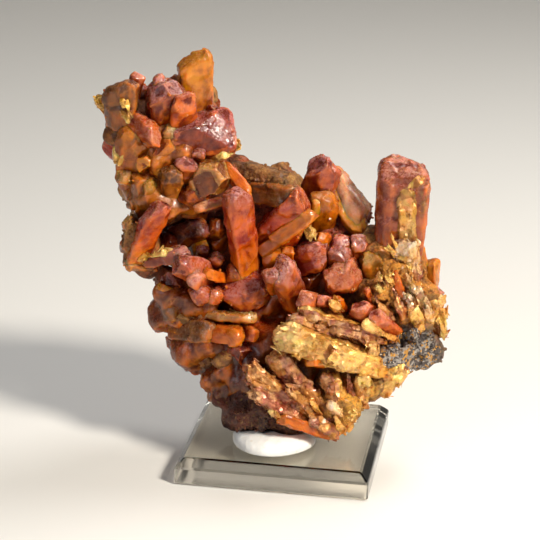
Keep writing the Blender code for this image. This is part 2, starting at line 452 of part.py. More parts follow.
def islands(bm):
    """The connected pieces of a mesh, each a list of faces."""
    left = set(bm.faces)
    found = []
    while left:
        piece = []
        edge_of_piece = [left.pop()]
        while edge_of_piece:
            face = edge_of_piece.pop()
            piece.append(face)
            for edge in face.edges:
                for other in edge.link_faces:
                    if other in left:
                        left.remove(other)
                        edge_of_piece.append(other)
        found.append(piece)
    return found


def volume_of(faces):
    """The volume that these triangles enclose, below zero where they line a hollow."""
    return sum(a.dot(b.cross(c)) for a, b, c in ([vert.co for vert in face.verts] for face in faces)) / 6


def fill_hollows(mesh):
    """Fills the sealed gaps left between crystals, by leaving out every shell but the outer one."""
    bm = bmesh.new()
    bm.from_mesh(mesh)
    bmesh.ops.triangulate(bm, faces=bm.faces)
    shells = sorted(islands(bm), key=volume_of)
    inner = [face for shell in shells[:-1] for face in shell]
    bmesh.ops.delete(bm, geom=inner, context="FACES")
    bm.to_mesh(mesh)
    bm.free()


def specimen():
    """The whole specimen, its body and crystals fused into one solid."""
    crystals = []
    for group in GROUPS:
        for row in group:
            crystals.append(crystal(*row))
    crystals += back_crystals()
    body = rock_body()
    cluster = joined("crystal cluster", crystals)
    fuse = body.modifiers.new("fuse", "BOOLEAN")
    fuse.operation = "UNION"
    fuse.solver = "EXACT"
    fuse.use_self = True
    fuse.object = cluster
    body.data = evaluated_copy(body)
    body.modifiers.clear()
    bpy.data.objects.remove(cluster)
    fill_hollows(body.data)
    thin_out(body, SPECIMEN_TRIANGLES / len(body.data.polygons))
    body.name = "orpiment_specimen"
    paint(body, "orpiment", (0.62, 0.2, 0.05), 0.45)
    return body


def paint(obj, name, colour, roughness):
    material = bpy.data.materials.new(name)
    material.use_nodes = True
    surface = material.node_tree.nodes["Principled BSDF"]
    surface.inputs["Base Color"].default_value = (*colour, 1)
    surface.inputs["Roughness"].default_value = roughness
    surface.inputs["Metallic"].default_value = 0
    obj.data.materials.clear()
    obj.data.materials.append(material)
    return surface


def stand():
    """The acrylic stand: a square block, bevelled round its top."""
    half = STAND_SIDE / 2 * MM
    bm = bmesh.new()
    bmesh.ops.create_cube(bm, size=1)
    for vert in bm.verts:
        vert.co = (vert.co.x * 2 * half, vert.co.y * 2 * half, (vert.co.z + 0.5) * STAND_HEIGHT * MM)
    top = [edge for edge in bm.edges if all(vert.co.z > STAND_HEIGHT / 2 * MM for vert in edge.verts)]
    bmesh.ops.bevel(bm, geom=top, offset=STAND_BEVEL * MM, segments=1, affect="EDGES")
    bmesh.ops.bevel(bm, geom=bm.edges, offset=STAND_EASED_EDGE * MM, segments=1, affect="EDGES")
    made = finished("acrylic_stand", bm)
    surface = paint(made, "clear acrylic", (0.86, 0.83, 0.75), 0.08)
    surface.inputs["Transmission Weight"].default_value = 1
    surface.inputs["IOR"].default_value = 1.49
    surface.inputs["Alpha"].default_value = 0.35
    return made


def clearance_over(tree, place):
    """How high the specimen's underside is over this place and close round it, or None where it isn't."""
    heights = []
    for k in range(PRESS_SAMPLES + 1):
        angle = 2 * math.pi * k / PRESS_SAMPLES
        reach = PRESS_REACH * MM if k else 0
        start = place + Vector((math.cos(angle), math.sin(angle), 0)) * reach
        hit = tree.ray_cast(start, Vector((0, 0, 1)))[0]
        if hit:
            heights.append(hit.z)
    return min(heights, default=None)


def putty(over):
    """The pat of putty on the stand, pressed down under the foot of the specimen that it holds."""
    tree = bvhtree.BVHTree.FromObject(over, bpy.context.evaluated_depsgraph_get())
    base = (STAND_HEIGHT + TOUCH_GAP) * MM
    middle = Matrix.Rotation(SHOW_TURN, 3, "Z") @ Vector((PUTTY_SPOT[0], -PUTTY_SPOT[1], 0)) * MM
    bm = bmesh.new()
    rings = []
    for k in range(PUTTY_RINGS):
        share = math.sin(math.pi / 2 * (k + 1) / PUTTY_RINGS)
        ring = []
        for j in range(PUTTY_SIDES):
            angle = 2 * math.pi * j / PUTTY_SIDES
            edge = PUTTY_RADIUS * (1 + PUTTY_WOBBLE * math.sin(3 * angle + 0.6))
            place = middle + Vector((math.cos(angle), math.sin(angle), 0)) * edge * share * MM
            place.z = base
            roof = clearance_over(tree, place)
            dome = PUTTY_LIP + (PUTTY_HEIGHT - PUTTY_LIP) * math.sqrt(1 - share**4)
            place.z += min(dome * MM, roof - base - PRESS_GAP * MM if roof else dome * MM)
            ring.append(bm.verts.new(place))
        rings.append(ring)
    foot = [bm.verts.new((vert.co.x, vert.co.y, base)) for vert in rings[-1]]
    rings.append(foot)
    for inner, outer in zip(rings, rings[1:]):
        for k in range(PUTTY_SIDES):
            bm.faces.new((inner[k - 1], inner[k], outer[k], outer[k - 1]))
    bm.faces.new(rings[0])
    bm.faces.new(foot[::-1])
    bmesh.ops.recalc_face_normals(bm, faces=bm.faces)
    made = finished("mounting_putty", bm)
    paint(made, "putty", (0.85, 0.84, 0.8), 0.55)
    return made


def main():
    for obj in list(bpy.data.objects):
        bpy.data.objects.remove(obj)
    held = specimen()
    putty(held)
    stand()


main()
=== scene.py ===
# Orpiment specimen: waxy red crystals, gold foliated blades and dark matrix, held by putty on a clear stand.
import math
import bmesh
import bpy
import numpy as np
from mathutils import Matrix, Vector, bvhtree, noise


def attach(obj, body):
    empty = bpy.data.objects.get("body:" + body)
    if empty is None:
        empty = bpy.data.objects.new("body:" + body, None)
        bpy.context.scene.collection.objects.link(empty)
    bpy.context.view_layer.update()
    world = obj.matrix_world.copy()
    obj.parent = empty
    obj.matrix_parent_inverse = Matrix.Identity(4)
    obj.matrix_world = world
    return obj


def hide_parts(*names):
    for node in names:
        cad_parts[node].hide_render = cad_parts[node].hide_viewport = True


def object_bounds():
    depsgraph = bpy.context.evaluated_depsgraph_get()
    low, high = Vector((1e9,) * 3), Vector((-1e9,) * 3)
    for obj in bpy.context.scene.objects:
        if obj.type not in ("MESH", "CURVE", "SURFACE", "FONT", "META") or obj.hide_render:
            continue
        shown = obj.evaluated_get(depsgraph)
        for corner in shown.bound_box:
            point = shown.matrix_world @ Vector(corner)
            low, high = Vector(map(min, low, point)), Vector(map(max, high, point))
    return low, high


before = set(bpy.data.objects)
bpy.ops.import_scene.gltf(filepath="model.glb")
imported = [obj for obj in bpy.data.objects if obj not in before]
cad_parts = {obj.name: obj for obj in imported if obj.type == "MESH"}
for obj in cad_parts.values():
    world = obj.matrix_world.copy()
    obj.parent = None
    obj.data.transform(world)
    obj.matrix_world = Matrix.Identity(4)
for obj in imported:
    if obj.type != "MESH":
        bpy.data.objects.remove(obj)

cadBox = [list(corner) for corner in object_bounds()]
mm = 0.001
scene = bpy.context.scene


def linked(name, data):  # a new object in the scene
    made = bpy.data.objects.new(name, data)
    scene.collection.objects.link(made)
    return made


def evaluated(obj):  # the mesh that an object's modifiers make
    bpy.context.view_layer.update()
    return bpy.data.meshes.new_from_object(obj.evaluated_get(bpy.context.evaluated_depsgraph_get()))


# A socket of a node tree. Sums and comparisons on it add Math nodes.
class Wire:
    def __init__(self, nodes, socket):
        self.nodes = nodes
        self.socket = socket

    def sum(self, operation, other=None, swapped=False):
        values = [self] if other is None else [other, self] if swapped else [self, other]
        return self.nodes.add("ShaderNodeMath", {"operation": operation}, values)

    def __add__(self, other):
        return self.sum("ADD", other)

    def __sub__(self, other):
        return self.sum("SUBTRACT", other)

    def __rsub__(self, other):
        return self.sum("SUBTRACT", other, swapped=True)

    def __mul__(self, other):
        return self.sum("MULTIPLY", other)

    def __gt__(self, other):
        return self.sum("GREATER_THAN", other)

    def ramp(self, low, high):  # 0 at low and under, 1 at high and over, smooth between
        values = {"Value": self, "From Min": low, "From Max": high}
        return self.nodes.add("ShaderNodeMapRange", {"interpolation_type": "SMOOTHSTEP"}, values)

    __radd__ = __add__
    __rmul__ = __mul__


# The nodes of one tree, shader or geometry.
class Nodes:
    def __init__(self, tree):
        self.tree = tree

    def add(self, kind, settings=None, values=None, output=0):
        node = self.tree.nodes.new(kind)
        for name, setting in (settings or {}).items():
            setattr(node, name, setting)
        pairs = values.items() if isinstance(values, dict) else enumerate(values or [])
        for name, value in pairs:
            if isinstance(value, Wire):
                self.tree.links.new(value.socket, node.inputs[name])
            else:
                node.inputs[name].default_value = value
        return Wire(self, node.outputs[output])

    def vector(self, operation, values, output=0):
        return self.add("ShaderNodeVectorMath", {"operation": operation}, values, output)

    def scaled(self, vector, sizes):  # a vector times one number for each axis
        return self.vector("MULTIPLY", [vector, sizes])

    def inMm(self, vector):  # from metres
        return self.scaled(vector, (1000, 1000, 1000))

    def axis(self, vector, letter):
        return self.add("ShaderNodeSeparateXYZ", None, [vector], letter)

    def noise(self, vector, scale, detail=3, roughness=0.55):
        values = {"Vector": vector, "Scale": scale, "Detail": detail, "Roughness": roughness}
        return self.add("ShaderNodeTexNoise", None, values)

    def cells(self, vector, scale, output="Distance"):
        return self.add("ShaderNodeTexVoronoi", None, {"Vector": vector, "Scale": scale}, output)

    def blend(self, share, first, second, how="MIX"):
        settings = {"data_type": "RGBA", "blend_type": how, "clamp_factor": True}
        return self.add("ShaderNodeMix", settings, {0: share, 6: first, 7: second}, 2)


def colour(red, green, blue):  # from a paint chip's 0 to 255 to the light that it sends back
    return tuple((value / 255) ** 2.2 for value in (red, green, blue))


def solid(red, green, blue):
    return (*colour(red, green, blue), 1)


def vary(seed, low, high):
    return low + (high - low) * (0.5 + 0.5 * math.sin(seed * 12.9898 + 4.1414))


# Where things are on the show face: millimetres across, up, and out along the line of sight
showFace = {"turn": math.radians(8.5), "eyeAcross": -3.5, "eyeUp": 162.3, "eyeOut": 367.1}


def spot(across, up, out):
    share = out / showFace["eyeOut"]
    side = across + (showFace["eyeAcross"] - across) * share
    height = up + (showFace["eyeUp"] - up) * share
    cosine, sine = math.cos(showFace["turn"]), math.sin(showFace["turn"])
    return Vector((side * cosine + out * sine, side * sine - out * cosine, height)) * mm


# What each kind of crystal looks like: colours from root to tip, the dust and painted sheen on it and how
# rough it grew
# stuff, root, middle, tip, dust and sheen colour, dust and sheen share, grain, flutes, foil
finishes = {
    "ember": ("wax", (240, 138, 24), (192, 48, 10), (160, 60, 40), (184, 126, 114), 0.6, 0.25, 0.3, 0),
    "flame": ("wax", (226, 118, 20), (236, 112, 14), (228, 134, 34), (212, 142, 76), 0.2, 0.2, 0.3, 0),
    "wine": ("wax", (190, 72, 14), (150, 42, 16), (152, 68, 50), (182, 130, 120), 0.55, 0.35, 0.3, 0),
    "maroon": ("wax", (130, 40, 10), (126, 34, 10), (140, 52, 22), (146, 86, 56), 0.3, 0.4, 0.3, 0),
    "rose": ("wax", (206, 92, 20), (172, 64, 34), (170, 88, 72), (204, 152, 144), 0.6, 0.45, 0.2, 0),
    "pink": ("wax", (216, 104, 30), (206, 98, 60), (214, 124, 96), (234, 182, 162), 0.45, 0.25, 0.1, 0),
    "coral": ("wax", (214, 100, 18), (198, 84, 28), (190, 96, 58), (208, 150, 124), 0.5, 0.3, 0.25, 0),
    "amber": ("wax", (214, 112, 16), (222, 142, 30), (222, 152, 46), (206, 142, 76), 0.3, 0.3, 0.35, 0.1),
    "shell": ("wax", (228, 152, 104), (240, 178, 136), (224, 140, 66), (246, 206, 180), 0.3, 0.15, 0.3, 0),
    "umber": ("wax", (186, 88, 22), (146, 50, 14), (182, 96, 66), (210, 150, 130), 0.5, 0.08, 1.1, 0),
    "crust": ("foil", (226, 158, 56), (212, 162, 82), (204, 142, 68), (180, 124, 60), 0.5, 1, 0.2, 0.5),
    "dusk": ("wax", (136, 78, 28), (120, 72, 34), (142, 96, 52), (164, 118, 78), 0.45, 0.3, 0.1, 0),
    "tan": ("wax", (164, 98, 34), (178, 120, 52), (192, 144, 76), (208, 168, 112), 0.5, 0.5, 0.1, 0.15),
    "honey": ("wax", (166, 78, 12), (182, 98, 20), (200, 124, 36), (172, 108, 62), 0.35, 0.3, 0.15, 0),
    "blush": ("wax", (226, 122, 22), (204, 44, 8), (166, 78, 48), (190, 122, 96), 0.45, 0.25, 0.3, 0),
    "olive": ("wax", (150, 92, 26), (170, 116, 40), (186, 140, 56), (192, 152, 82), 0.5, 0.5, 0, 0),
    "brown": ("rock", (132, 72, 24), (156, 92, 34), (176, 116, 50), (192, 140, 72), 0.5, 0.7, 0.1, 0),
    "grey": ("rock", (66, 58, 50), (88, 80, 72), (124, 114, 102), (166, 152, 130), 0.5, 0.9, 0, 0.7),
    "gold": ("foil", (222, 142, 52), (247, 190, 92), (252, 210, 124), (208, 132, 60), 0.22, 0.4, 0.5, 0.8),
    "brass": ("foil", (234, 160, 66), (250, 200, 104), (253, 212, 128), (222, 146, 78), 0.2, 0.25, 0.4, 0.55),
    "yellow": ("foil", (230, 160, 54), (247, 200, 96), (252, 218, 132), (216, 150, 70), 0.3, 0.6, 0.2, 0.5),
    "mauve": ("foil", (192, 104, 36), (170, 92, 62), (192, 128, 98), (230, 174, 100), 0.4, 0.3, 1.1, 0.55),
    "silver": ("foil", (222, 158, 66), (236, 198, 142), (250, 232, 208), (236, 186, 100), 0.35, 0.3, 0.7, 0.8),
}

# Crystals by area: name, finish, root and tip (across, up, out), width, thickness, ending, turn about the axis
crown = (
    ("crown plate", "amber", (-16.8, 62.5, -2.7), (-17.3, 74.6, -2), 6.4, 3.6, "slant", 12),
    ("crown rose apex", "rose", (-15.4, 57, -4), (-13, 67.2, -0.5), 8.6, 6.4, "point", -25),
    ("crown rose block", "rose", (-16.4, 59, -6), (-16, 60.4, 4.8), 13, 8.8, "blunt", 8),
    ("crown dark plate", "maroon", (-20.5, 62, -4.5), (-21.4, 70.6, -4.5), 5.2, 3.6, "slant", -15),
    ("crown knob", "wine", (-22.4, 60, -3), (-21.8, 68.8, 3.2), 8, 6.6, "round", 20),
    ("crown knob side", "coral", (-19.6, 61, -1), (-18.9, 66.6, 4.2), 5.8, 5, "blunt", 20),
    ("crown knob bead", "rose", (-22.8, 65, -1), (-23.3, 69.8, 2.2), 2.4, 2.4, "round", 0),
    ("crown dark back", "maroon", (-26.5, 60, -5), (-26.3, 68.6, -4), 3.4, 3, "blunt", 10),
    ("horn plate", "dusk", (-29.8, 60.6, -1), (-29.9, 69.9, 1), 7.2, 5, "slant", -14),
    ("horn spike", "yellow", (-31, 64, -1), (-35.2, 66.2, -1), 3, 2.4, "point", 0),
    ("horn top", "coral", (-28.6, 64, -1.5), (-26.9, 70.7, -1.2), 3.2, 3, "blunt", 20),
    ("horn seam", "yellow", (-29.6, 65.6, 2.4), (-27.6, 62, 4), 1.1, 1.2, "point", 0),
    ("horn seam foot", "yellow", (-29.2, 63.2, 2.2), (-28.5, 61.2, 3.4), 1, 1, "blunt", 0),
    ("crown finger", "coral", (-28.6, 62.4, -1), (-23.3, 58.5, 5), 5.2, 4, "slant", 24),
    ("crown finger under", "coral", (-27.5, 60, -1), (-24.6, 57.6, 3.6), 2.2, 2, "blunt", 10),
    ("collar", "yellow", (-16, 55.6, -3), (-9.5, 59.4, -0.5), 4.2, 5, "slant", -18),
    ("collar knob", "yellow", (-11, 57.4, -3), (-9.2, 58.4, -1.5), 1.8, 1.8, "round", 0),
    ("collar lip", "yellow", (-15.6, 55, -1), (-10.6, 57.2, 2.4), 2.4, 2.8, "wedge", 0),
    ("crown seat", "tan", (-22, 58, -2), (-20.4, 60, 3), 4.6, 3.6, "blunt", 15),
    ("tower slab", "honey", (-27, 50.6, -3), (-27.4, 60.6, 1.8), 7.4, 6, "blunt", -12),
    ("tower slab inner", "honey", (-22.8, 50, -3), (-22.6, 59, 3), 6.4, 6, "blunt", 18),
    ("tower slab edge", "yellow", (-30, 59, -1), (-30.4, 53.8, 1.4), 1.8, 2.6, "wedge", 0),
    ("tower step", "amber", (-26, 54.6, -1), (-25.4, 54.4, 4.2), 4.4, 3.6, "blunt", 30),
)
brow = (
    ("brow crystal", "tan", (-16, 52.61, -4), (-13.5, 51.3, 6), 8.8, 7.6, "blunt", 22),
    ("brow under", "maroon", (-19.5, 50.5, -3), (-15.6, 48.4, 4.2), 6.4, 4.6, "blunt", -12),
    ("brow bead", "rose", (-20, 51, -1), (-18, 55.6, 4.4), 4.8, 4.4, "round", 20),
    ("brow small bead", "rose", (-16.8, 54, -1), (-16.2, 57, 3.4), 2.4, 2.4, "round", 0),
    ("brow side", "dusk", (-21.8, 47.6, 0), (-20.8, 53.8, 4.4), 4.6, 4.4, "blunt", 15),
    ("neck slab", "honey", (-24.6, 44.6, -3), (-25.2, 52.4, 1.8), 6.6, 5.6, "blunt", 10),
    ("neck knob", "tan", (-27.6, 51.4, -2), (-30, 52, 1.6), 3, 3, "blunt", 0),
    ("neck lump", "olive", (-24.4, 49.6, -1), (-25, 50.2, 4), 4.4, 3.8, "blunt", 25),
    ("tongue", "shell", (-12.6, 47.6, 1), (-16.9, 46.1, 5), 1.7, 2.2, "round", 0),
    ("hero crystal", "ember", (-7.2, 33, 1), (-9.9, 50, 7.4), 6.4, 5.4, "round", 26),
    ("hero blade", "flame", (-12, 54, 0.5), (-7, 48.6, 4.4), 2.8, 3.2, "slant", -20),
    ("roof crystal", "brown", (-10, 53.6, -6), (1, 50.2, 0.5), 5.4, 6.4, "blunt", 15),
    ("roof wall", "blush", (-6, 38.6, -2), (3.2, 48.4, 4.2), 7.8, 6, "fall", 18),
    ("roof wall edge", "honey", (-5.2, 38.4, 2.4), (4.4, 46.4, 5), 2.6, 2.8, "wedge", 0),
    ("roof under", "dusk", (-7, 49.6, -2), (1.2, 48.8, 3.4), 4.6, 4.4, "blunt", 12),
    ("roof back", "brown", (-2.6, 49, -8), (-1.4, 54.7, -6), 4.6, 4, "blunt", 0),
    ("back red", "wine", (4.4, 44, -7), (5.3, 56, -3.6), 7.2, 6, "blunt", -22),
    ("back rose", "shell", (6.2, 53.4, -8), (13, 43.8, -1.4), 6.2, 5.4, "round", 25),
    ("back amber", "amber", (6.8, 50.4, -5.6), (13, 41.9, -1.2), 4.2, 3.8, "blunt", -10),
    ("back gold", "honey", (5, 42.8, -4), (5.8, 49.4, -0.6), 6, 4.4, "blunt", 10),
    ("back leaf", "amber", (4, 44.6, -1.4), (4.2, 48.4, 1), 1.9, 2.2, "blunt", 20),
    ("yellow leaf", "yellow", (2.2, 45.6, 1), (4, 40.9, 4.8), 2.2, 2.4, "wedge", 30),
    ("tan leaf", "tan", (-1.4, 43.2, 2), (-0.3, 40.2, 4.4), 1.7, 1.7, "point", 0),
)
bowl = (
    ("bowl ember", "flame", (4.6, 38.4, 0), (5.8, 42, 3), 3.6, 3.2, "round", 15),
    ("bowl red", "ember", (-1.6, 36.2, -2), (6.4, 38.7, 3.8), 6, 5.4, "blunt", 10),
    ("bowl dark", "maroon", (4.4, 31.8, -3), (2.8, 34.2, 3), 6.6, 5, "blunt", 20),
    ("bowl dome", "rose", (9.4, 35.8, -2), (9.2, 41.4, 2.2), 4.6, 4.2, "round", -10),
    ("bowl mauve dome", "rose", (12, 36.4, -1), (12, 41.6, 2.6), 3.6, 3.8, "round", 10),
    ("bowl pink", "wine", (8.8, 35, 0), (8.8, 39.2, 4.4), 5, 4.2, "blunt", -18),
    ("bowl olive", "olive", (15, 31.8, 0), (14, 39, 4.2), 4.6, 4.2, "round", 18),
    ("bowl block", "coral", (9.4, 35.4, -3), (9.4, 33.7, 7.4), 7.6, 6.8, "blunt", 14),
    ("bowl slanted", "rose", (1.4, 28.8, 3), (-1.9, 36.4, 8.2), 6.6, 5.4, "slant", 32),
    ("bowl facet", "wine", (-2.4, 31.6, 3.6), (-3.2, 34.8, 8.8), 3.6, 3.4, "blunt", 10),
    ("bowl lump", "flame", (-2.6, 35, 0), (-2.9, 39.2, 3.2), 4.4, 4, "round", 0),
    ("bowl bead", "flame", (-0.2, 36.4, 1), (-0.6, 39.6, 3.4), 2.2, 2.2, "round", 0),
    ("hero foot", "maroon", (-10.6, 31.6, 0), (-8.8, 35.6, 4), 4.8, 4.2, "blunt", 20),
    ("pebble", "pink", (5, 29, 5), (2.4, 29.9, 10.6), 3.4, 2.9, "round", 0),
    ("pebble tail", "pink", (7.4, 29, 5), (5.6, 29.8, 9.6), 2.6, 2, "round", 0),
)
ledge = (
    ("ledge gold", "gold", (14, 24.8, 5), (2.2, 28, 10.2), 2.5, 6, "wedge", -16),
    ("ledge mauve", "mauve", (16.5, 23.2, 6), (2.6, 26.8, 11.6), 2, 6, "wedge", 10),
    ("ledge brown", "mauve", (17, 22.2, 5), (6.6, 24.6, 9.6), 1.8, 5.6, "wedge", 0),
    ("rose heap", "pink", (15.6, 25.4, 3), (11.6, 29.2, 8.2), 4.4, 4.6, "round", 18),
    ("rose heap side", "pink", (19.2, 24.2, 4), (14.6, 27.2, 8.8), 3.8, 3.6, "blunt", -24),
    ("ledge flake", "gold", (9.2, 27.8, 8), (7, 29.4, 10.4), 1.2, 1.4, "wedge", 0),
    ("ledge ember", "flame", (9.8, 27.6, 5), (8.3, 30.4, 8), 1.9, 1.8, "blunt", 15),
    ("ledge seam", "gold", (19, 22.6, 6), (13.4, 25.6, 9.4), 1.4, 1.8, "wedge", 0),
    ("gold slab", "brass", (15.4, 18, 6), (-2, 23.4, 14), 6.6, 4.2, "blunt", -26),
    ("gold slab end", "brass", (18.4, 17, 5), (7, 19.6, 12.6), 5.2, 4.4, "blunt", -20),
    ("gold slab top", "mauve", (15, 19.8, 5), (0.2, 26.2, 12), 2.6, 5.4, "blunt", 14),
    ("gold slab lip", "flame", (9.6, 17.8, 6), (3.6, 17.9, 11.6), 1.6, 3, "wedge", 0),
    ("gold knob", "gold", (15.4, 18.6, 6), (15.3, 21.6, 9.8), 1.9, 1.9, "round", 0),
)
wall = (
    ("tall crystal", "umber", (18.7, 33, 0), (19.5, 56.2, 0.8), 9.2, 6.8, "blunt", 4),
    ("tall crystal twin", "coral", (21.8, 42.2, 0.8), (22.6, 53.4, 1.6), 4, 6, "blunt", -10),
    ("tall crystal seam", "crust", (20.6, 36.6, 2.6), (20, 51.4, 3.6), 3.2, 2.4, "wedge", 0),
    ("tall crystal ridge", "crust", (19, 49.6, 3.2), (22.8, 53, 3.6), 1.6, 1.8, "wedge", 0),
    ("pale mass", "silver", (20.6, 33.6, 1), (20.2, 41.2, 4.6), 5, 3.8, "wedge", -10),
    ("tall crystal foot", "brown", (14.6, 32, -3), (14.6, 43.6, -0.6), 6.4, 5.4, "blunt", 0),
    ("flame a", "gold", (20.6, 36.6, 2.5), (17.4, 42.4, 5.6), 2, 1.8, "point", 20),
    ("flame b", "gold", (21.6, 37.2, 2), (20, 42, 4.4), 2.2, 2, "point", -15),
    ("flame c", "gold", (19.4, 37, 3), (17, 40.4, 6.2), 1.7, 1.6, "point", 10),
    ("flame d", "gold", (20.8, 34.6, 3), (20.2, 38.2, 5.4), 1.9, 1.8, "point", 0),
    ("rim spike", "amber", (23.6, 33, 0), (22.9, 41.3, 1.6), 3, 2.4, "point", 18),
    ("rim plate", "amber", (24.8, 28, -1), (25, 38, 0.6), 3.4, 3.2, "slant", -22),
    ("rim inner plate", "mauve", (23, 32, 1.5), (21.6, 38, 3.6), 2.2, 2, "wedge", 20),
    ("mid spike", "flame", (19.8, 30.4, 4), (18.4, 36.3, 6.2), 2.2, 2, "point", 0),
    ("pale blade", "silver", (24.2, 27.6, 3.4), (20.4, 35.6, 6.2), 2.4, 2.2, "point", 24),
    ("pale blade side", "silver", (25, 26.6, 3), (22.8, 33, 5.2), 2.2, 2, "wedge", -12),
    ("flake a", "gold", (18.6, 30.8, 4), (15.6, 35, 7.2), 1.6, 1.6, "point", 12),
    ("flake b", "gold", (18.4, 31.8, 4.6), (17.2, 35.3, 7.2), 2.2, 1.8, "blunt", 30),
    ("flake c", "yellow", (17.4, 30.2, 5), (15.2, 33, 7.8), 1.7, 1.6, "blunt", 0),
    ("flake d", "coral", (15.2, 27.4, 4), (13.6, 32.4, 7.2), 1.7, 1.8, "blunt", 20),
    ("lilac blade", "mauve", (18.2, 26.4, 4.6), (14.8, 31, 8), 1.9, 1.8, "point", 0),
    ("mauve blade", "mauve", (21, 26, 4.8), (18.5, 32.2, 7.2), 2.2, 2, "point", 22),
    ("mauve blade side", "silver", (22.4, 26.4, 4), (20.8, 31.4, 6.8), 2, 1.9, "point", 0),
    ("rim gold", "gold", (27, 23.6, 0.5), (25.8, 31.8, 3.4), 3, 2.8, "wedge", 15),
    ("rim gold low", "yellow", (26.4, 29, 1), (28.1, 23.6, 3.4), 2, 2.2, "blunt", 10),
    ("yellow blade", "gold", (23.8, 24, 4), (21.9, 28.8, 6.8), 1.9, 1.8, "wedge", 0),
    ("white blade", "silver", (25.2, 25, 3), (24.2, 29.8, 5.8), 1.6, 1.6, "point", 0),
    ("gold foot", "gold", (16.4, 12.6, 5), (21, 18.4, 7.2), 4.4, 3.8, "blunt", 25),
    ("grey crumb a", "grey", (22.6, 21, 2), (22.8, 24.6, 6), 2.4, 2.2, "blunt", 30),
    ("grey crumb b", "grey", (24.8, 20.6, 1.5), (26.2, 21.4, 4.6), 2.6, 2.4, "blunt", 0),
    ("grey crumb c", "grey", (19.6, 20.2, 3), (18.4, 20.8, 7.4), 2.8, 2.6, "blunt", 15),
    ("grey crumb d", "grey", (22.6, 18.8, 2), (23.4, 18.6, 5.4), 2.8, 2, "blunt", 40),
)
foot = (
    ("bundle upper", "mauve", (9, 4.8, 7.5), (-3.2, 19.6, 10), 4.4, 5, "blunt", 10),
    ("bundle middle", "mauve", (8.6, 4.6, 8), (-7.8, 16.4, 11.8), 4.6, 5, "slant", -16),
    ("bundle lower", "mauve", (6.8, 4.8, 8.6), (-6.4, 12.2, 12.6), 4.2, 4.4, "blunt", 20),
    ("bundle sheen", "mauve", (5.8, 6.4, 9.5), (0.3, 13.2, 13.2), 2.8, 3, "wedge", 24),
    ("bundle keel", "flame", (7.6, 3.9, 9.4), (-1.4, 7, 12.6), 2, 3, "wedge", 0),
    ("bundle toe", "mauve", (9.2, 3.7, 8.8), (4.8, 6.8, 11.8), 2.4, 3, "blunt", 12),
    ("bundle leaf", "gold", (6.4, 7.6, 10), (4.1, 10.5, 13), 1.1, 1.4, "point", 0),
    ("bundle tip", "gold", (-0.6, 7, 10.6), (-2.7, 8.3, 13.4), 1.1, 1.4, "blunt", 0),
    ("strut a", "mauve", (9.9, 6.8, 8), (6.6, 15.8, 10.6), 2.3, 2.4, "blunt", 18),
    ("strut b", "gold", (11, 7.8, 7), (8.2, 16, 9), 2, 2.2, "wedge", 0),
    ("strut c", "mauve", (12.2, 8.8, 6.5), (10.8, 16.4, 8.8), 2.2, 2.2, "point", -18),
    ("strut d", "gold", (13.6, 9.9, 5.5), (13.2, 16.4, 8.2), 3.2, 3.2, "blunt", 10),
    ("strut e", "brown", (16.4, 13, 3), (14.6, 11.8, 7), 3, 2.6, "round", 0),
    ("strut facet", "silver", (10.2, 8, 8.4), (7.6, 9.8, 11.6), 2, 2, "blunt", 20),
    ("toe spike", "gold", (10.2, 4.6, 8), (8.6, 7.8, 11), 1.6, 1.8, "point", 0),
    ("toe side", "gold", (10.8, 5.4, 7), (12, 9.6, 8.8), 2.2, 2.4, "blunt", 22),
    ("shade bit", "gold", (1.7, 13.2, 6), (0.7, 15.9, 9), 1.8, 1.8, "blunt", 0),
    ("shade wall", "maroon", (-4.6, 18, 1), (-3.4, 23.4, 5.4), 6.4, 4.6, "blunt", 25),
)
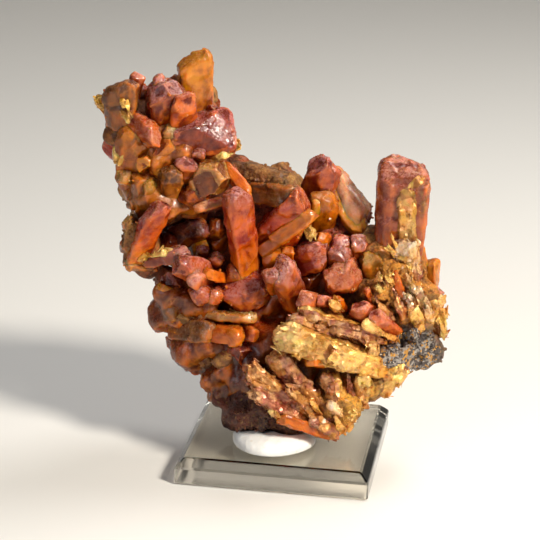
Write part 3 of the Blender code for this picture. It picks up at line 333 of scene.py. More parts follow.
flank = (
    ("heel finger", "flame", (-17.4, 23.8, 2), (-7.6, 22.3, 9.6), 4, 4, "round", 18),
    ("heel finger root", "dusk", (-20.6, 23.6, 0.5), (-12.6, 23.2, 6.6), 4.2, 4, "round", 0),
    ("heel bit", "maroon", (-9.6, 23.6, 4), (-5.4, 22.7, 8.6), 2.6, 2.2, "blunt", 0),
    ("heel ledge", "tan", (-20, 26.6, 1), (-5.8, 26, 6.6), 2.6, 4.8, "wedge", 12),
    ("heel red", "wine", (-8.6, 21, 2), (-7.6, 18.6, 8.8), 5, 4.8, "blunt", 20),
    ("belly block", "ember", (-8.4, 33.6, -1), (-6.6, 28.9, 6.2), 9.4, 6.6, "blunt", 8),
    ("flank cheek", "wine", (-19, 32, -1), (-22.6, 31.2, 3.4), 5.8, 4.8, "blunt", 15),
    ("flank cheek low", "dusk", (-18.6, 27.8, -0.5), (-21.6, 26.9, 4), 5.2, 4.2, "blunt", -20),
    ("elbow", "rose", (-26.4, 36, 1), (-17.9, 37.9, 6.2), 3.2, 3.4, "round", 18),
    ("elbow seam", "yellow", (-27, 36.8, 3), (-21.8, 38.1, 5.8), 1.2, 1.4, "wedge", 0),
    ("elbow lower", "rose", (-14.6, 34, 2), (-20.3, 36, 8.6), 5, 4.8, "blunt", 20),
    ("elbow facet", "pink", (-14.4, 32.4, 3), (-17.4, 33.2, 9), 3.4, 3, "blunt", -15),
    ("elbow amber", "flame", (-10.6, 33.2, 1), (-15, 34.2, 6.4), 2, 2.6, "blunt", 0),
    ("flank block", "ember", (-14, 31.4, 1), (-16.2, 29.7, 8.8), 4.4, 4.6, "blunt", 25),
    ("flank block side", "coral", (-12.4, 31.4, 1), (-13.6, 29.4, 8.2), 3.2, 3.4, "blunt", -20),
    ("pocket dome", "wine", (-14.4, 34.8, -2), (-12.4, 37.2, 3.4), 3.2, 3, "round", 10),
    ("pocket bead", "rose", (-15.6, 37.4, -3), (-15.4, 38.9, 1.6), 2.2, 1.6, "round", 0),
    ("pocket wall", "wine", (-17, 40.5, -11), (-18.2, 42.4, -3.4), 8.2, 5.2, "blunt", 20),
    ("pocket wall side", "maroon", (-12.6, 40, -11), (-13, 43.4, -5), 4.2, 4.2, "blunt", -15),
    ("pocket roof", "maroon", (-17, 47, -7), (-17.8, 45.8, -1.8), 4.6, 3.4, "blunt", 0),
    ("flank blade", "amber", (-18, 29.4, 2), (-23.3, 31.7, 3.8), 1.3, 2, "wedge", 0),
    ("left prop", "ember", (-27.4, 36.2, 1), (-22.8, 47.4, 6.8), 5, 4.6, "slant", 24),
    ("left prop side", "brown", (-28.2, 35.8, 0), (-27.8, 43.8, 3.2), 2.8, 3, "blunt", -12),
    ("corner lump", "tan", (-23.6, 35.4, 0), (-29.2, 35.8, 2.2), 3, 3.4, "round", 10),
    ("left edge upper", "tan", (-26.5, 42.5, -1), (-29.4, 43.6, 2), 3, 3, "blunt", 20),
    ("left edge lower", "dusk", (-26.6, 38.6, -1), (-29.6, 39.6, 1.8), 3.4, 3.2, "blunt", 0),
    ("flank bump a", "dusk", (-25.6, 46.8, -1), (-28.8, 47.6, 1.4), 2.8, 2.8, "round", 0),
    ("flank dark b", "brown", (-16.6, 26.6, 0), (-19.6, 25.4, 4.6), 3.4, 3, "round", 0),
    ("heel dark a", "brown", (-13, 19, 1), (-16.4, 17.8, 4.6), 4.4, 3.4, "round", 10),
    ("heel dark b", "brown", (-10, 16.6, 3), (-12.4, 18.8, 7.4), 3.8, 3.4, "round", 0),
    ("heel sliver", "olive", (-13, 14.6, 2), (-15.2, 13.6, 4.2), 2.8, 2, "blunt", 0),
)

# Rows of stubby crystals over the hidden back: height, first and last place across, how many, width, depth
backRows = (
    (65.5, -26.5, -18, 3, 4.6, -11),
    (59, -26.4, -14.5, 4, 5, -13),
    (52, -26.5, -14, 4, 5, -13),
    (45.5, -25, 9, 7, 5.4, -15),
    (38, -22, 17.5, 8, 5.4, -14),
    (30.5, -18, 24, 7, 5.4, -12.5),
    (22.5, -14.5, 23, 7, 5.4, -9),
    (15.5, -8.5, 14, 4, 5, -5.5),
)
backStubs = {
    "reach": 2.6,
    "root": 5.0,
    "tilt": 0.7,
    "finishes": ("tan", "wine", "maroon", "rose", "brown", "ember", "olive"),
}
crystalForm = {
    "leastCut": 0.16,
    "mostCut": 0.6,
    "mediumWidth": 2.3,  # wider crystals have two corners cut, and the widest three
    "largeWidth": 4.2,
    "slant": 0.2,
    "roundOff": 0.1,
    "step": 0.34,  # millimetres between the points of a surface
    "tipFaces": 4,
    "sideFaces": 3,
    "tipBite": (0.04, 0.17),  # how deep a face cuts, as a share of the width
    "sideBite": (0.02, 0.09),
    "fullness": 1.06,  # makes up for what the faces cut
    "endOn": 0.35,  # a crystal that points this nearly at the eye has its width laid level
}


def sectionOf(width, seed):
    points = []
    cuts = 1 + (width > crystalForm["mediumWidth"]) + (width > crystalForm["largeWidth"])
    for k, (x, y) in enumerate(((-1, -1), (1, -1), (1, 1), (-1, 1))):
        cut = vary(seed + 1.7 * k, crystalForm["leastCut"], crystalForm["mostCut"])
        if (k + seed) % 4 >= cuts:
            points.append((x, y))
        elif x * y > 0:
            points += [(x, y - y * cut), (x - x * cut, y)]
        else:
            points += [(x - x * cut, y), (x, y - y * cut)]
    return points


# Rings along a crystal: share of its length, scale across, scale in depth, shift, slope
def ringsOf(end, length, width, seed):
    root = vary(seed + 0.3, 0.82, 0.96)
    shift = vary(seed + 0.9, -0.22, 0.22)
    tip = min(0.45, 0.42 * width / length)
    if end == "point":
        return [(0, 1, 1, 0, 0), (0.45, 0.78, 0.8, 0, 0), (1, 0.1, 0.12, shift, 0)]
    if end == "wedge":
        return [(0, root, root, 0, 0), (1 - tip, 1, 1, 0, 0), (1, 0.72, 0.22, 0, 0)]
    if end in ("slant", "fall"):
        slope = crystalForm["slant"] * width / length * (1 if end == "slant" else -1)
        top = (1 - 0.3 * tip, 0.78, 0.7, shift, slope)
        return [(0, root, root, 0, 0), (1 - 0.8 * tip, 1, 1, 0, slope), top]
    if end == "round":
        middle = (1 - 0.3 * tip, 0.72, 0.72, shift / 2, 0)
        return [(0, root, root, 0, 0), (1 - tip, 1, 1, 0, 0), middle, (1, 0.3, 0.3, shift, 0)]
    return [(0, root, root, 0, 0), (1 - 0.7 * tip, 1, 1, 0, 0), (1, 0.6, 0.56, shift, 0)]


def roundOff(points, closed, passes=2):  # cuts the corners off a line, and then off what is left
    cut = crystalForm["roundOff"]
    for _ in range(passes):
        here = points if closed else points[:-1]
        step = (np.roll(points, -1, axis=0) if closed else points[1:]) - here
        cutLine = np.stack((here + step * cut, here + step * (1 - cut)), axis=1).reshape(-1, points.shape[1])
        points = cutLine if closed else np.vstack((points[:1], cutLine, points[-1:]))
    return points


def evenly(points, sizes, closed, gap):  # places at even steps along a line
    if closed:
        points = np.vstack((points, points[:1]))
    lengths = np.linalg.norm(np.diff(points * sizes, axis=0), axis=1)
    along = np.concatenate(([0], np.cumsum(lengths)))
    where = np.linspace(0, along[-1], max(8, int(along[-1] / gap)) + 1)
    if closed:
        where = where[:-1]
    return np.stack([np.interp(where, along, column) for column in points.T], axis=1)


def cutFaces(points, width, seed):  # flattens what stands past a few planes, as crystal faces do
    tips, sides = crystalForm["tipFaces"], crystalForm["sideFaces"]
    for k in range(tips + sides):
        lean = vary(seed + 3.3 * k, 0.3, 1.05) if k < tips else vary(seed + 3.3 * k, 1.35, 1.62)
        around = vary(seed + 0.7, 0, 6.3) + k * 2.1 + vary(seed + 5.1 * k, -0.5, 0.5)
        level = math.sin(lean)
        normal = np.array((level * math.cos(around), level * math.sin(around), math.cos(lean)))
        reach = points @ normal
        bite = width * vary(seed + 1.9 * k, *crystalForm["tipBite" if k < tips else "sideBite"])
        points = points - np.clip(reach - (reach.max() - bite), 0, None)[:, None] * normal
    return points


# One crystal's points, faces and what its surface is like at each point
def grow(finish, root, tip, width, thickness, end, turn):
    stuff, *look = finishes[finish]
    seed = int(abs(10 * (root[0] + 3 * root[1] + 7 * tip[0])))
    start, stop = spot(*root), spot(*tip)
    along = stop - start
    length = along.length / mm
    sight = (spot(tip[0], tip[1], tip[2] + 1) - stop).normalized()
    side = along.cross(sight)
    if side.length < crystalForm["endOn"] * along.length:
        side = Vector((math.cos(showFace["turn"]), math.sin(showFace["turn"]), 0))
    side = (side - along * side.dot(along) / along.length_squared).normalized()
    turned = abs(math.cos(math.radians(turn))) + abs(math.sin(math.radians(turn))) * thickness / width
    spin = Matrix.Rotation(math.radians(turn), 3, along)
    frameOf = np.array((spin @ side, spin @ along.normalized().cross(side), along.normalized())) * mm
    halfWidth, halfDepth = (size / 2 / turned * crystalForm["fullness"] for size in (width, thickness))
    rings = ringsOf(end, length, width, seed)
    share, wide, thick, shift, slope = rings[-1]
    rings = [(0, 0.01, 0.01, 0, 0)] + rings + [(share, wide * 0.02, thick * 0.02, shift, slope * 0.02)]
    sizes = np.array((length, halfWidth, halfDepth, halfWidth, 0.1))
    rings = evenly(roundOff(np.array(rings, float), False), sizes, False, crystalForm["step"])
    section = np.array(sectionOf(width, seed), float)
    section = evenly(roundOff(section, True), np.array((halfWidth, halfDepth)), True, crystalForm["step"])
    share, wide, thick, shift, slope = (rings[:, k, None] for k in range(5))
    x, y = section[None, :, 0], section[None, :, 1]
    own = ((x * wide + shift) * halfWidth, y * thick * halfDepth, (share + slope * x) * length)
    own = cutFaces(np.stack(own, axis=-1).reshape(-1, 3), width, seed)
    rows, columns = len(rings), len(section)
    k = np.arange(rows * columns).reshape(rows, columns)
    around = np.roll(k, -1, axis=1)
    faces = np.stack((k[:-1], around[:-1], around[1:], k[1:]), axis=-1).reshape(-1, 4).tolist()
    faces += [k[0, ::-1].tolist(), k[-1].tolist()]
    height = np.clip(own[:, 2:] / length, 0, 1)
    rootTint, middleTint, tipTint, dustAndSheenTint = (np.array(colour(*chip)) for chip in look[:4])
    low, high = np.clip(height / 0.5, 0, 1), np.clip(height * 2 - 1, 0, 1) ** 1.5
    tint = rootTint + (middleTint - rootTint) * low + (tipTint - middleTint) * high
    tint = tint * vary(seed + 2.3, 0.86, 1.14)
    count = rows * columns
    return {
        "points": np.array(start) + own @ frameOf,
        "faces": faces,
        "tint": tint,
        "dustAndSheenTint": np.tile(dustAndSheenTint, (count, 1)),
        "own": own + np.array((vary(seed, 0, 90), vary(seed + 1, 0, 90), vary(seed + 2, 0, 90))),
        "way": np.tile(np.array(along.normalized()), (count, 1)),
        "dustAndSheenShare": look[4] * (0.45 + 0.55 * height[:, 0]),
        "grain": np.full(count, float(look[5])),
        "flutes": np.full(count, float(look[6])),
        "foil": np.full(count, float(look[7])),
        "stuff": stuff,
    }


def backCrystals():  # the same stubs, in the same rows, as the solid has
    made = []
    seed = 500
    for up, first, last, count, width, depth in backRows:
        for k in range(count):
            seed += 1
            place = 2 * (k + 0.5) / count - 1
            across = first + (last - first) * (k + 0.5) / count + vary(seed, -1.2, 1.2)
            surface = depth * (1 - 0.45 * abs(place))
            root = (across, up + vary(seed + 0.2, -1.6, 1.6), surface + backStubs["root"])
            reach = backStubs["root"] + backStubs["reach"] * vary(seed + 0.8, 0.6, 1.2)
            lean = place * backStubs["tilt"] + vary(seed + 0.4, -0.3, 0.3)
            rise = vary(seed + 0.6, 0.15, backStubs["tilt"] + 0.2)
            tip = (root[0] + lean * reach, root[1] + rise * reach, root[2] - reach)
            end = ("blunt", "round", "slant", "fall")[seed % 4]
            wide = width * vary(seed + 1.1, 0.75, 1.25)
            finish = backStubs["finishes"][seed * 3 % len(backStubs["finishes"])]
            made.append((f"back {seed}", finish, root, tip, wide, wide * 0.9, end, 40 * k))
    return made


# What each point of a surface carries, by name: vectors and numbers. How open it lies is worked out later.
vectorFacts = ("tint", "dustAndSheenTint", "own", "way")
numberFacts = ("dustAndSheenShare", "grain", "flutes", "foil")


def kindOf(fact):
    return "FLOAT_VECTOR" if fact in vectorFacts else "FLOAT"


def meshFrom(name, points, faces, facts):
    mesh = bpy.data.meshes.new(name)
    mesh.from_pydata(points, [], faces)
    mesh.update()
    for fact, values in facts.items():
        stored = mesh.attributes.new(fact, kindOf(fact), "POINT")
        stored.data.foreach_set("vector" if fact in vectorFacts else "value", np.ravel(values))
    mesh.shade_smooth()
    return linked(name, mesh)


# How much of the sky each point sees past the solid: 1 in the open, 0 deep in a cleft
openness = {"rise": 0.6, "reach": 10, "spread": 0.9, "rays": 6, "farHit": 0.75}
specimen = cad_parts["orpiment_specimen"]
rockTree = bvhtree.BVHTree.FromObject(specimen, bpy.context.evaluated_depsgraph_get())


def addOpenness(obj):
    mesh = obj.data
    normals = np.empty(len(mesh.vertices) * 3, np.float32)
    mesh.vertices.foreach_get("normal", normals)
    normals = normals.reshape(-1, 3)
    turns = np.arange(openness["rays"]) * 2 * math.pi / openness["rays"]
    fan = np.stack((np.cos(turns), np.sin(turns), np.sin(turns * 2)), axis=1) * openness["spread"]
    seen = np.zeros(len(normals), np.float32)
    for k, vert in enumerate(mesh.vertices):
        normal = normals[k]
        start = vert.co + vert.normal * (openness["rise"] * mm)
        for offset in fan:
            hit = rockTree.ray_cast(start, Vector(normal + offset), openness["reach"] * mm)
            seen[k] += 1 if hit[0] is None else openness["farHit"] * hit[3] / (openness["reach"] * mm)
    stored = mesh.attributes.new("open", "FLOAT", "POINT")
    stored.data.foreach_set("value", seen / openness["rays"])
    return obj


def together(name, crystals):  # crystals joined in one mesh, with all that their surfaces carry
    offsets = np.cumsum([0] + [len(crystal["points"]) for crystal in crystals])
    faces = []
    for crystal, offset in zip(crystals, offsets):
        faces += [[point + offset for point in face] for face in crystal["faces"]]
    joined = {}
    for fact in ("points", *vectorFacts, *numberFacts):
        joined[fact] = np.concatenate([crystal[fact] for crystal in crystals])
    return addOpenness(meshFrom(name, joined.pop("points"), faces, joined))


def named(nodes, name):  # what the surface carries under this name, in a geometry tree
    return nodes.add("GeometryNodeInputNamedAttribute", {"data_type": kindOf(name)}, {"Name": name})


def geometryTree(name, sizes):
    tree = bpy.data.node_groups.new(name, "GeometryNodeTree")
    tree.interface.new_socket("Geometry", in_out="INPUT", socket_type="NodeSocketGeometry")
    tree.interface.new_socket("Geometry", in_out="OUTPUT", socket_type="NodeSocketGeometry")
    for label, size in sizes.items():
        kind = "NodeSocketInt" if isinstance(size, int) else "NodeSocketFloat"
        tree.interface.new_socket(label, in_out="INPUT", socket_type=kind).default_value = size
    nodes = Nodes(tree)
    given = tree.nodes.new("NodeGroupInput")
    inputs = {socket.name: Wire(nodes, socket) for socket in given.outputs if socket.name}
    return nodes, inputs


def endTree(nodes, geometry, material):
    whole = nodes.add("GeometryNodeRealizeInstances", None, [geometry])
    clad = nodes.add("GeometryNodeSetMaterial", None, {"Geometry": whole, "Material": material})
    result = nodes.tree.nodes.new("NodeGroupOutput")
    nodes.tree.links.new(clad.socket, result.inputs[0])


def applied(obj, tree, sizes):  # runs a geometry tree on an object, and keeps the plain mesh that it makes
    modifier = obj.modifiers.new(tree.name, "NODES")
    modifier.node_group = tree
    for socket in tree.interface.items_tree:
        if socket.in_out == "INPUT" and socket.name in sizes:
            modifier[socket.identifier] = sizes[socket.name]
    made = evaluated(obj)
    obj.modifiers.clear()
    return made


def facets(nodes, vector, scale):  # height of little flat planes, each tilted its own way
    arm = nodes.vector("SUBTRACT", [vector, nodes.cells(vector, scale, "Position")])
    lean = nodes.vector("SUBTRACT", [nodes.cells(vector, scale, "Color"), (0.5, 0.5, 0.5)])
    return nodes.vector("DOT_PRODUCT", [arm, lean], "Value")


# Growth marks and wear, in millimetres: waves, flat chips, grains, flutes along a crystal, creases of foil
wearSizes = {"Wave": 0.36, "Chip": 0.2, "Grain": 0.35, "Flute": 0.45, "Crease": 0.9}


def wearTree(material):
    nodes, given = geometryTree("growthMarks", wearSizes)
    place = nodes.inMm(nodes.add("GeometryNodeInputPosition"))
    own = named(nodes, "own")
    wave = nodes.noise(place, 0.4, 2) - 0.5
    grain = nodes.noise(place, 1.1, 3) * 0.6 - nodes.cells(place, 0.85) * 0.7
    flute = nodes.noise(nodes.scaled(own, (1.2, 1.2, 0.07)), 1, 2) - 0.5
    fold = (nodes.noise(nodes.scaled(own, (0.45, 0.45, 0.25)), 1, 3, 0.6) - 0.5).sum("ABSOLUTE")
    crease = 0.06 - fold * 0.5 + facets(nodes, place, 0.32) * 0.7
    push = wave * given["Wave"] + facets(nodes, place, 0.35) * given["Chip"]
    push = push + grain * given["Grain"] * named(nodes, "grain")
    push = push + flute * given["Flute"] * named(nodes, "flutes")
    push = push + crease * given["Crease"] * named(nodes, "foil")
    normal = nodes.add("GeometryNodeInputNormal")
    offset = nodes.vector("SCALE", {0: normal, "Scale": push * mm})
    moved = nodes.add("GeometryNodeSetPosition", None, {"Geometry": given["Geometry"], "Offset": offset})
    endTree(nodes, moved, material)
    return nodes.tree


def insideBox(mesh):  # keeps the growth marks within the size of the solids
    low, high = (np.array(corner) for corner in cadBox)
    points = np.empty(len(mesh.vertices) * 3, np.float32)
    mesh.vertices.foreach_get("co", points)
    mesh.vertices.foreach_set("co", np.clip(points.reshape(-1, 3), low, high).ravel())
    mesh.update()


def worn(obj, material, sizes=None):
    tree = wearTree(material)
    obj.data = applied(obj, tree, {**wearSizes, **(sizes or {})})
    insideBox(obj.data)
    obj.data.shade_smooth()
    return obj


def newMaterial(name):
    made = bpy.data.materials.new(name)
    made.use_nodes = True
    made.node_tree.nodes.clear()
    return made, Nodes(made.node_tree)


def endMaterial(nodes, values):
    shader = nodes.add("ShaderNodeBsdfPrincipled", None, values)
    result = nodes.tree.nodes.new("ShaderNodeOutputMaterial")
    nodes.tree.links.new(shader.socket, result.inputs["Surface"])


def fact(nodes, name, output="Fac"):  # what the surface carries under this name, in a material
    return nodes.add("ShaderNodeAttribute", {"attribute_name": name}, None, output)


def objectPlace(nodes):  # the place on the object, in millimetres
    return nodes.inMm(nodes.add("ShaderNodeTexCoord", None, None, "Object"))


def facing(nodes, way):  # 1 on a face that looks this way, -1 on one that looks the other way
    normal = nodes.add("ShaderNodeNewGeometry", None, None, "Normal")
    return nodes.vector("DOT_PRODUCT", [normal, way], "Value")


skyward = (0, 0, 1)


def raised(nodes, height, distance, strength=1, under=None):  # a bump whose height is in millimetres
    values = {"Height": height, "Distance": distance * mm, "Strength": strength}
    if under is not None:
        values["Normal"] = under
    return nodes.add("ShaderNodeBump", None, values)


# Waxy crystals: translucent, with a dull dusting and painted sheen on the faces that look up, a painted glow
# where they are thin and on faces turned the far-side way, and painted shade in clefts
waxLook = {
    "see": 1.42,
    "glow": 0.75,
    "glowReach": (1.0, 0.25, 0.04),
    "glowDepth": 1.4,  # millimetres
    "veil": 0.22,
    "veilRoughness": 0.03,
    "farSide": (0.5, -0.35, -0.8),  # light that went in at the top left comes out on the faces this way
}


def waxMaterial():
    made, nodes = newMaterial("orpimentWax")
    place, own = objectPlace(nodes), fact(nodes, "own", "Vector")
    tint, dustAndSheenTint = fact(nodes, "tint", "Color"), fact(nodes, "dustAndSheenTint", "Color")
    cloudy = nodes.noise(own, 0.42, 4, 0.6)
    fine = nodes.noise(place, 2.3, 4, 0.65)
    edge = nodes.add("ShaderNodeNewGeometry", None, None, "Pointiness").ramp(0.5, 0.62)
    glow = nodes.noise(nodes.scaled(own, (0.5, 0.5, 0.22)), 1, 2).ramp(0.5, 0.68)
    shade = nodes.blend(cloudy.ramp(0.3, 0.7), solid(172, 146, 136), solid(210, 206, 200))
    base = nodes.blend(0.9, tint, shade, "MULTIPLY")
    panes = nodes.axis(nodes.cells(nodes.scaled(own, (0.4, 0.4, 0.2)), 1, "Color"), "X")
    base = nodes.blend(panes.ramp(0.3, 0.8) * 0.3, base, solid(196, 158, 144), "MULTIPLY")
    base = nodes.blend(glow * 0.5, base, nodes.blend(0.5, tint, solid(244, 126, 16)))
    # Painted light: faces that look the far-side way turn a brighter orange, as if lit through the crystal
    paintedThroughLight = facing(nodes, waxLook["farSide"]).ramp(0.15, 0.95) * cloudy.ramp(0.35, 0.6)
    base = nodes.blend(paintedThroughLight * 0.6, base, nodes.blend(0.5, tint, solid(250, 140, 18)))
    # Painted glow: sharp thin edges, found by pointiness, are made a lighter orange as if light shone through
    # them
    base = nodes.blend(edge * 0.5, base, solid(236, 138, 56))
    # Dust on the faces that look up, and with it painted sheen: those faces are made paler and lighter, as
    # where light from above falls
    dustAndSheen = fact(nodes, "dustAndSheenShare") * (facing(nodes, skyward) + 0.25).ramp(-0.1, 0.9)
    dustAndSheen = dustAndSheen * (fine * 1.1 + cloudy * 0.9).ramp(0.8, 1.15)
    base = nodes.blend(dustAndSheen, base, dustAndSheenTint)
    rust = nodes.noise(place, 0.7, 3).ramp(0.58, 0.72) * 0.55
    base = nodes.blend(rust * 0.3, base, solid(176, 112, 40))
    # Painted shade: points that see little open sky, in clefts and between crystals, are darkened to a deep
    # red-brown
    paintedCleftShade = (1 - fact(nodes, "open")).ramp(0.35, 0.95)
    base = nodes.blend(paintedCleftShade * 0.8, base, solid(150, 76, 58), "MULTIPLY")
    streaks = nodes.noise(nodes.scaled(own, (2.6, 2.6, 0.3)), 1, 3, 0.6) * 0.6
    streaks = streaks + nodes.noise(place, 1.2, 4, 0.6) * 0.5
    pits = nodes.noise(place, 5.5, 3, 0.6) * 0.4 + facets(nodes, place, 2.6) * 0.5
    low = raised(nodes, streaks, 0.25, 0.5)
    endMaterial(nodes, {
        "Base Color": base,
        "Roughness": dustAndSheen * 0.3 + fine.ramp(0.35, 0.7) * 0.14 + 0.1,
        "IOR": waxLook["see"],
        "Subsurface Weight": waxLook["glow"],
        "Subsurface Radius": waxLook["glowReach"],
        "Subsurface Scale": waxLook["glowDepth"] * mm,
        "Coat Weight": waxLook["veil"],
        "Coat Roughness": waxLook["veilRoughness"],
        "Normal": raised(nodes, pits, 0.14, 0.55, low),
    })
    return made


# Foliated blades: crinkled leaves that shine like brass, with coppery and lilac bloom between
foilLook = {"metal": 0.45, "see": 1.8, "glow": 0.12, "glowDepth": 0.5, "veil": 0.3, "veilRoughness": 0.12}


def foilMaterial():
    made, nodes = newMaterial("orpimentFoil")
    place, own = objectPlace(nodes), fact(nodes, "own", "Vector")
    tint, dustAndSheenTint = fact(nodes, "tint", "Color"), fact(nodes, "dustAndSheenTint", "Color")
    streak = nodes.noise(nodes.scaled(own, (2.2, 2.2, 0.22)), 1, 4, 0.6)
    cloudy = nodes.noise(place, 0.55, 4, 0.6)
    leaf = nodes.cells(place, 0.9, "Color")
    shade = nodes.blend(streak.ramp(0.36, 0.62), solid(190, 136, 96), solid(255, 255, 255))
    base = nodes.blend(fact(nodes, "flutes") * 0.75, tint, shade, "MULTIPLY")
    base = nodes.blend(0.16, base, leaf, "OVERLAY")
    panes = nodes.axis(nodes.cells(place, 0.34, "Color"), "X")
    base = nodes.blend(panes.ramp(0.55, 0.8) * 0.5, base, solid(238, 164, 60))
    bloom = fact(nodes, "dustAndSheenShare") * (cloudy + streak * 0.4).ramp(0.6, 0.86) * 1.5
    base = nodes.blend(bloom, base, dustAndSheenTint)
    copper = nodes.noise(place, 0.6, 3).ramp(0.6, 0.72)
    base = nodes.blend(copper * 0.6, base, solid(188, 96, 26))
    # Painted shade: points that see little open sky, in clefts and between blades, are darkened
    paintedCleftShade = (1 - fact(nodes, "open")).ramp(0.35, 0.95)
    base = nodes.blend(paintedCleftShade * 0.75, base, solid(160, 96, 60), "MULTIPLY")
    creases = facets(nodes, place, 0.45) * 1.3 + facets(nodes, place, 1.5) * 0.45
    ribs = nodes.noise(nodes.scaled(own, (5, 5, 0.4)), 1, 3, 0.6) * 0.5 + nodes.noise(place, 4, 3) * 0.3
    low = raised(nodes, creases, 0.9, 0.9)
    endMaterial(nodes, {
        "Base Color": base,
        "Metallic": (1 - bloom) * (1 - copper * 0.4) * foilLook["metal"],
        "Roughness": cloudy.ramp(0.3, 0.75) * 0.22 + 0.14,
        "IOR": foilLook["see"],
        "Subsurface Weight": foilLook["glow"],
        "Subsurface Radius": (1, 0.4, 0.08),
        "Subsurface Scale": foilLook["glowDepth"] * mm,
        "Coat Weight": foilLook["veil"],
        "Coat Roughness": foilLook["veilRoughness"],
        "Normal": raised(nodes, ribs, 0.3, 0.8, low),
    })
    return made


# Matrix: grainy dark rock with a few bright glints
rockLook = {"see": 1.5, "spark": 4.5, "speck": 2.4, "veil": 0.15, "veilRoughness": 0.2}


def rockMaterial():
    made, nodes = newMaterial("orpimentRock")
    place = objectPlace(nodes)
    tint, dustAndSheenTint = fact(nodes, "tint", "Color"), fact(nodes, "dustAndSheenTint", "Color")
    grains = nodes.cells(place, 1.5, "Color")
    cloudy = nodes.noise(place, 0.5, 5, 0.6)
    fine = nodes.noise(place, 3, 4, 0.65)
    base = nodes.blend(fact(nodes, "foil") * 0.6 + 0.12, tint, grains, "OVERLAY")
    shade = nodes.blend(cloudy.ramp(0.32, 0.68), solid(110, 104, 98), solid(255, 255, 255))
    base = nodes.blend(0.8, base, shade, "MULTIPLY")
    # Dust, and painted sheen: a lighter copy of the rock colour, a little stronger on faces that look up
    dustAndSheen = fact(nodes, "dustAndSheenShare") * (facing(nodes, skyward) * 0.4 + 0.6) * (fine + cloudy).ramp(0.9, 1.2) * 1.2
    base = nodes.blend(dustAndSheen, base, dustAndSheenTint)
    glinting = [nodes.cells(place, rockLook["spark"], "Position")]
    spark = nodes.add("ShaderNodeTexWhiteNoise", {"noise_dimensions": "3D"}, glinting, "Value") > 0.93
    base = nodes.blend(spark * 0.35, base, solid(222, 176, 110))
    specks = nodes.axis(nodes.cells(place, rockLook["speck"], "Color"), "X")
    flecked = fact(nodes, "foil").ramp(0.2, 0.6)
    bright = nodes.blend(specks > 0.82, solid(166, 156, 146), solid(206, 152, 76))
    base = nodes.blend(flecked, base, nodes.blend(specks > 0.45, solid(84, 74, 70), bright))
    # Painted shade: points that see little open sky, in clefts and hollows of the rock, are darkened
    paintedCleftShade = (1 - fact(nodes, "open")).ramp(0.4, 0.95)
    base = nodes.blend(paintedCleftShade * 0.75, base, solid(176, 104, 76), "MULTIPLY")
    heights = facets(nodes, place, 1.5) * 0.9 + nodes.noise(place, 2, 4, 0.65) * 0.6
    low = raised(nodes, heights, 0.9, 0.9)
    endMaterial(nodes, {
        "Base Color": base,
        "Metallic": spark * 0.5 + flecked * (specks > 0.52) * 0.4,
        "Roughness": 0.62 - spark * 0.42 - fine.ramp(0.55, 0.8) * 0.25,
        "IOR": rockLook["see"],
        "Coat Weight": rockLook["veil"],
        "Coat Roughness": rockLook["veilRoughness"],
        "Normal": raised(nodes, facets(nodes, place, 4), 0.4, 0.8, low),
    })
    return made


waxStuff, foilStuff, rockStuff = waxMaterial(), foilMaterial(), rockMaterial()

# The rock under the crystals: rounded lumps by middle (across, up, out) and half sizes
rockLumps = {
    "tower": ((-21, 57.5, -5), (9, 8.5, 8)),
    "tower shoulder": ((-28, 60, -3.5), (4.5, 5.5, 5)),
    "tower back": ((-17.5, 61, -6), (5, 4.5, 5)),
    "neck": ((-21, 50, -5), (8.5, 5.5, 7.5)),
    "left flank": ((-25.8, 41, -3), (3.6, 8, 6)),
    "cavity wall": ((-15, 42, -12), (10, 9, 5)),
    "roof root": ((-11, 51, -7), (4.5, 5, 5)),
    "back rim": ((-3, 46.5, -9), (9, 7, 6)),
    "back rim end": ((7, 44, -7.5), (6.5, 6, 5.5)),
    "middle": ((-4, 32, -5.5), (15, 8, 8.5)),
    "bowl floor": ((8, 33, -5.5), (8.5, 8, 7)),
    "right wall": ((17, 34, -0.5), (5.5, 8.5, 6.5)),
    "right ridge": ((22, 30, 0.5), (4.6, 7.5, 5.5)),
    "right foot": ((19, 21.5, 1.5), (7.5, 4.8, 6.5)),
    "ledge": ((11, 22, 2), (8, 5, 6.5)),
    "belly": ((-2.5, 20.5, -1), (13.4, 7.6, 8)),
    "left belly": ((-17.6, 29.4, -2.5), (6.8, 6.2, 7)),
    "left heel": ((-13.6, 21.4, -0.5), (6.2, 5, 6.4)),
    "heel": ((-9.6, 15.6, 1), (5.2, 6.6, 6.5)),
    "foot": ((-3, 9.3, 5), (10.4, 5.2, 6)),
    "foot end": ((8.6, 11, 5.5), (4.6, 5.6, 4.5)),
    "toe": ((14.6, 15.2, 3.5), (3.6, 3.6, 4)),
}
rockForm = {
    "voxel": 0.55,  # millimetres
    "roughness": 1.3,
    "roughnessScale": 0.26,
    "inset": 0.25,
    "sinkFrom": -3,  # the glassy mass sinks into the rock behind this
    "speckled": (22.5, -4, 21.5),  # where the rock is a salt and pepper of small grains
    "speckledReach": 6,
    "dustAndSheenShare": 0.5,
    "waxy": (-8, 5, 36),  # left of this, and in front of it or above it, the rock has few grains on it
    "waxyGrain": 0.25,
}
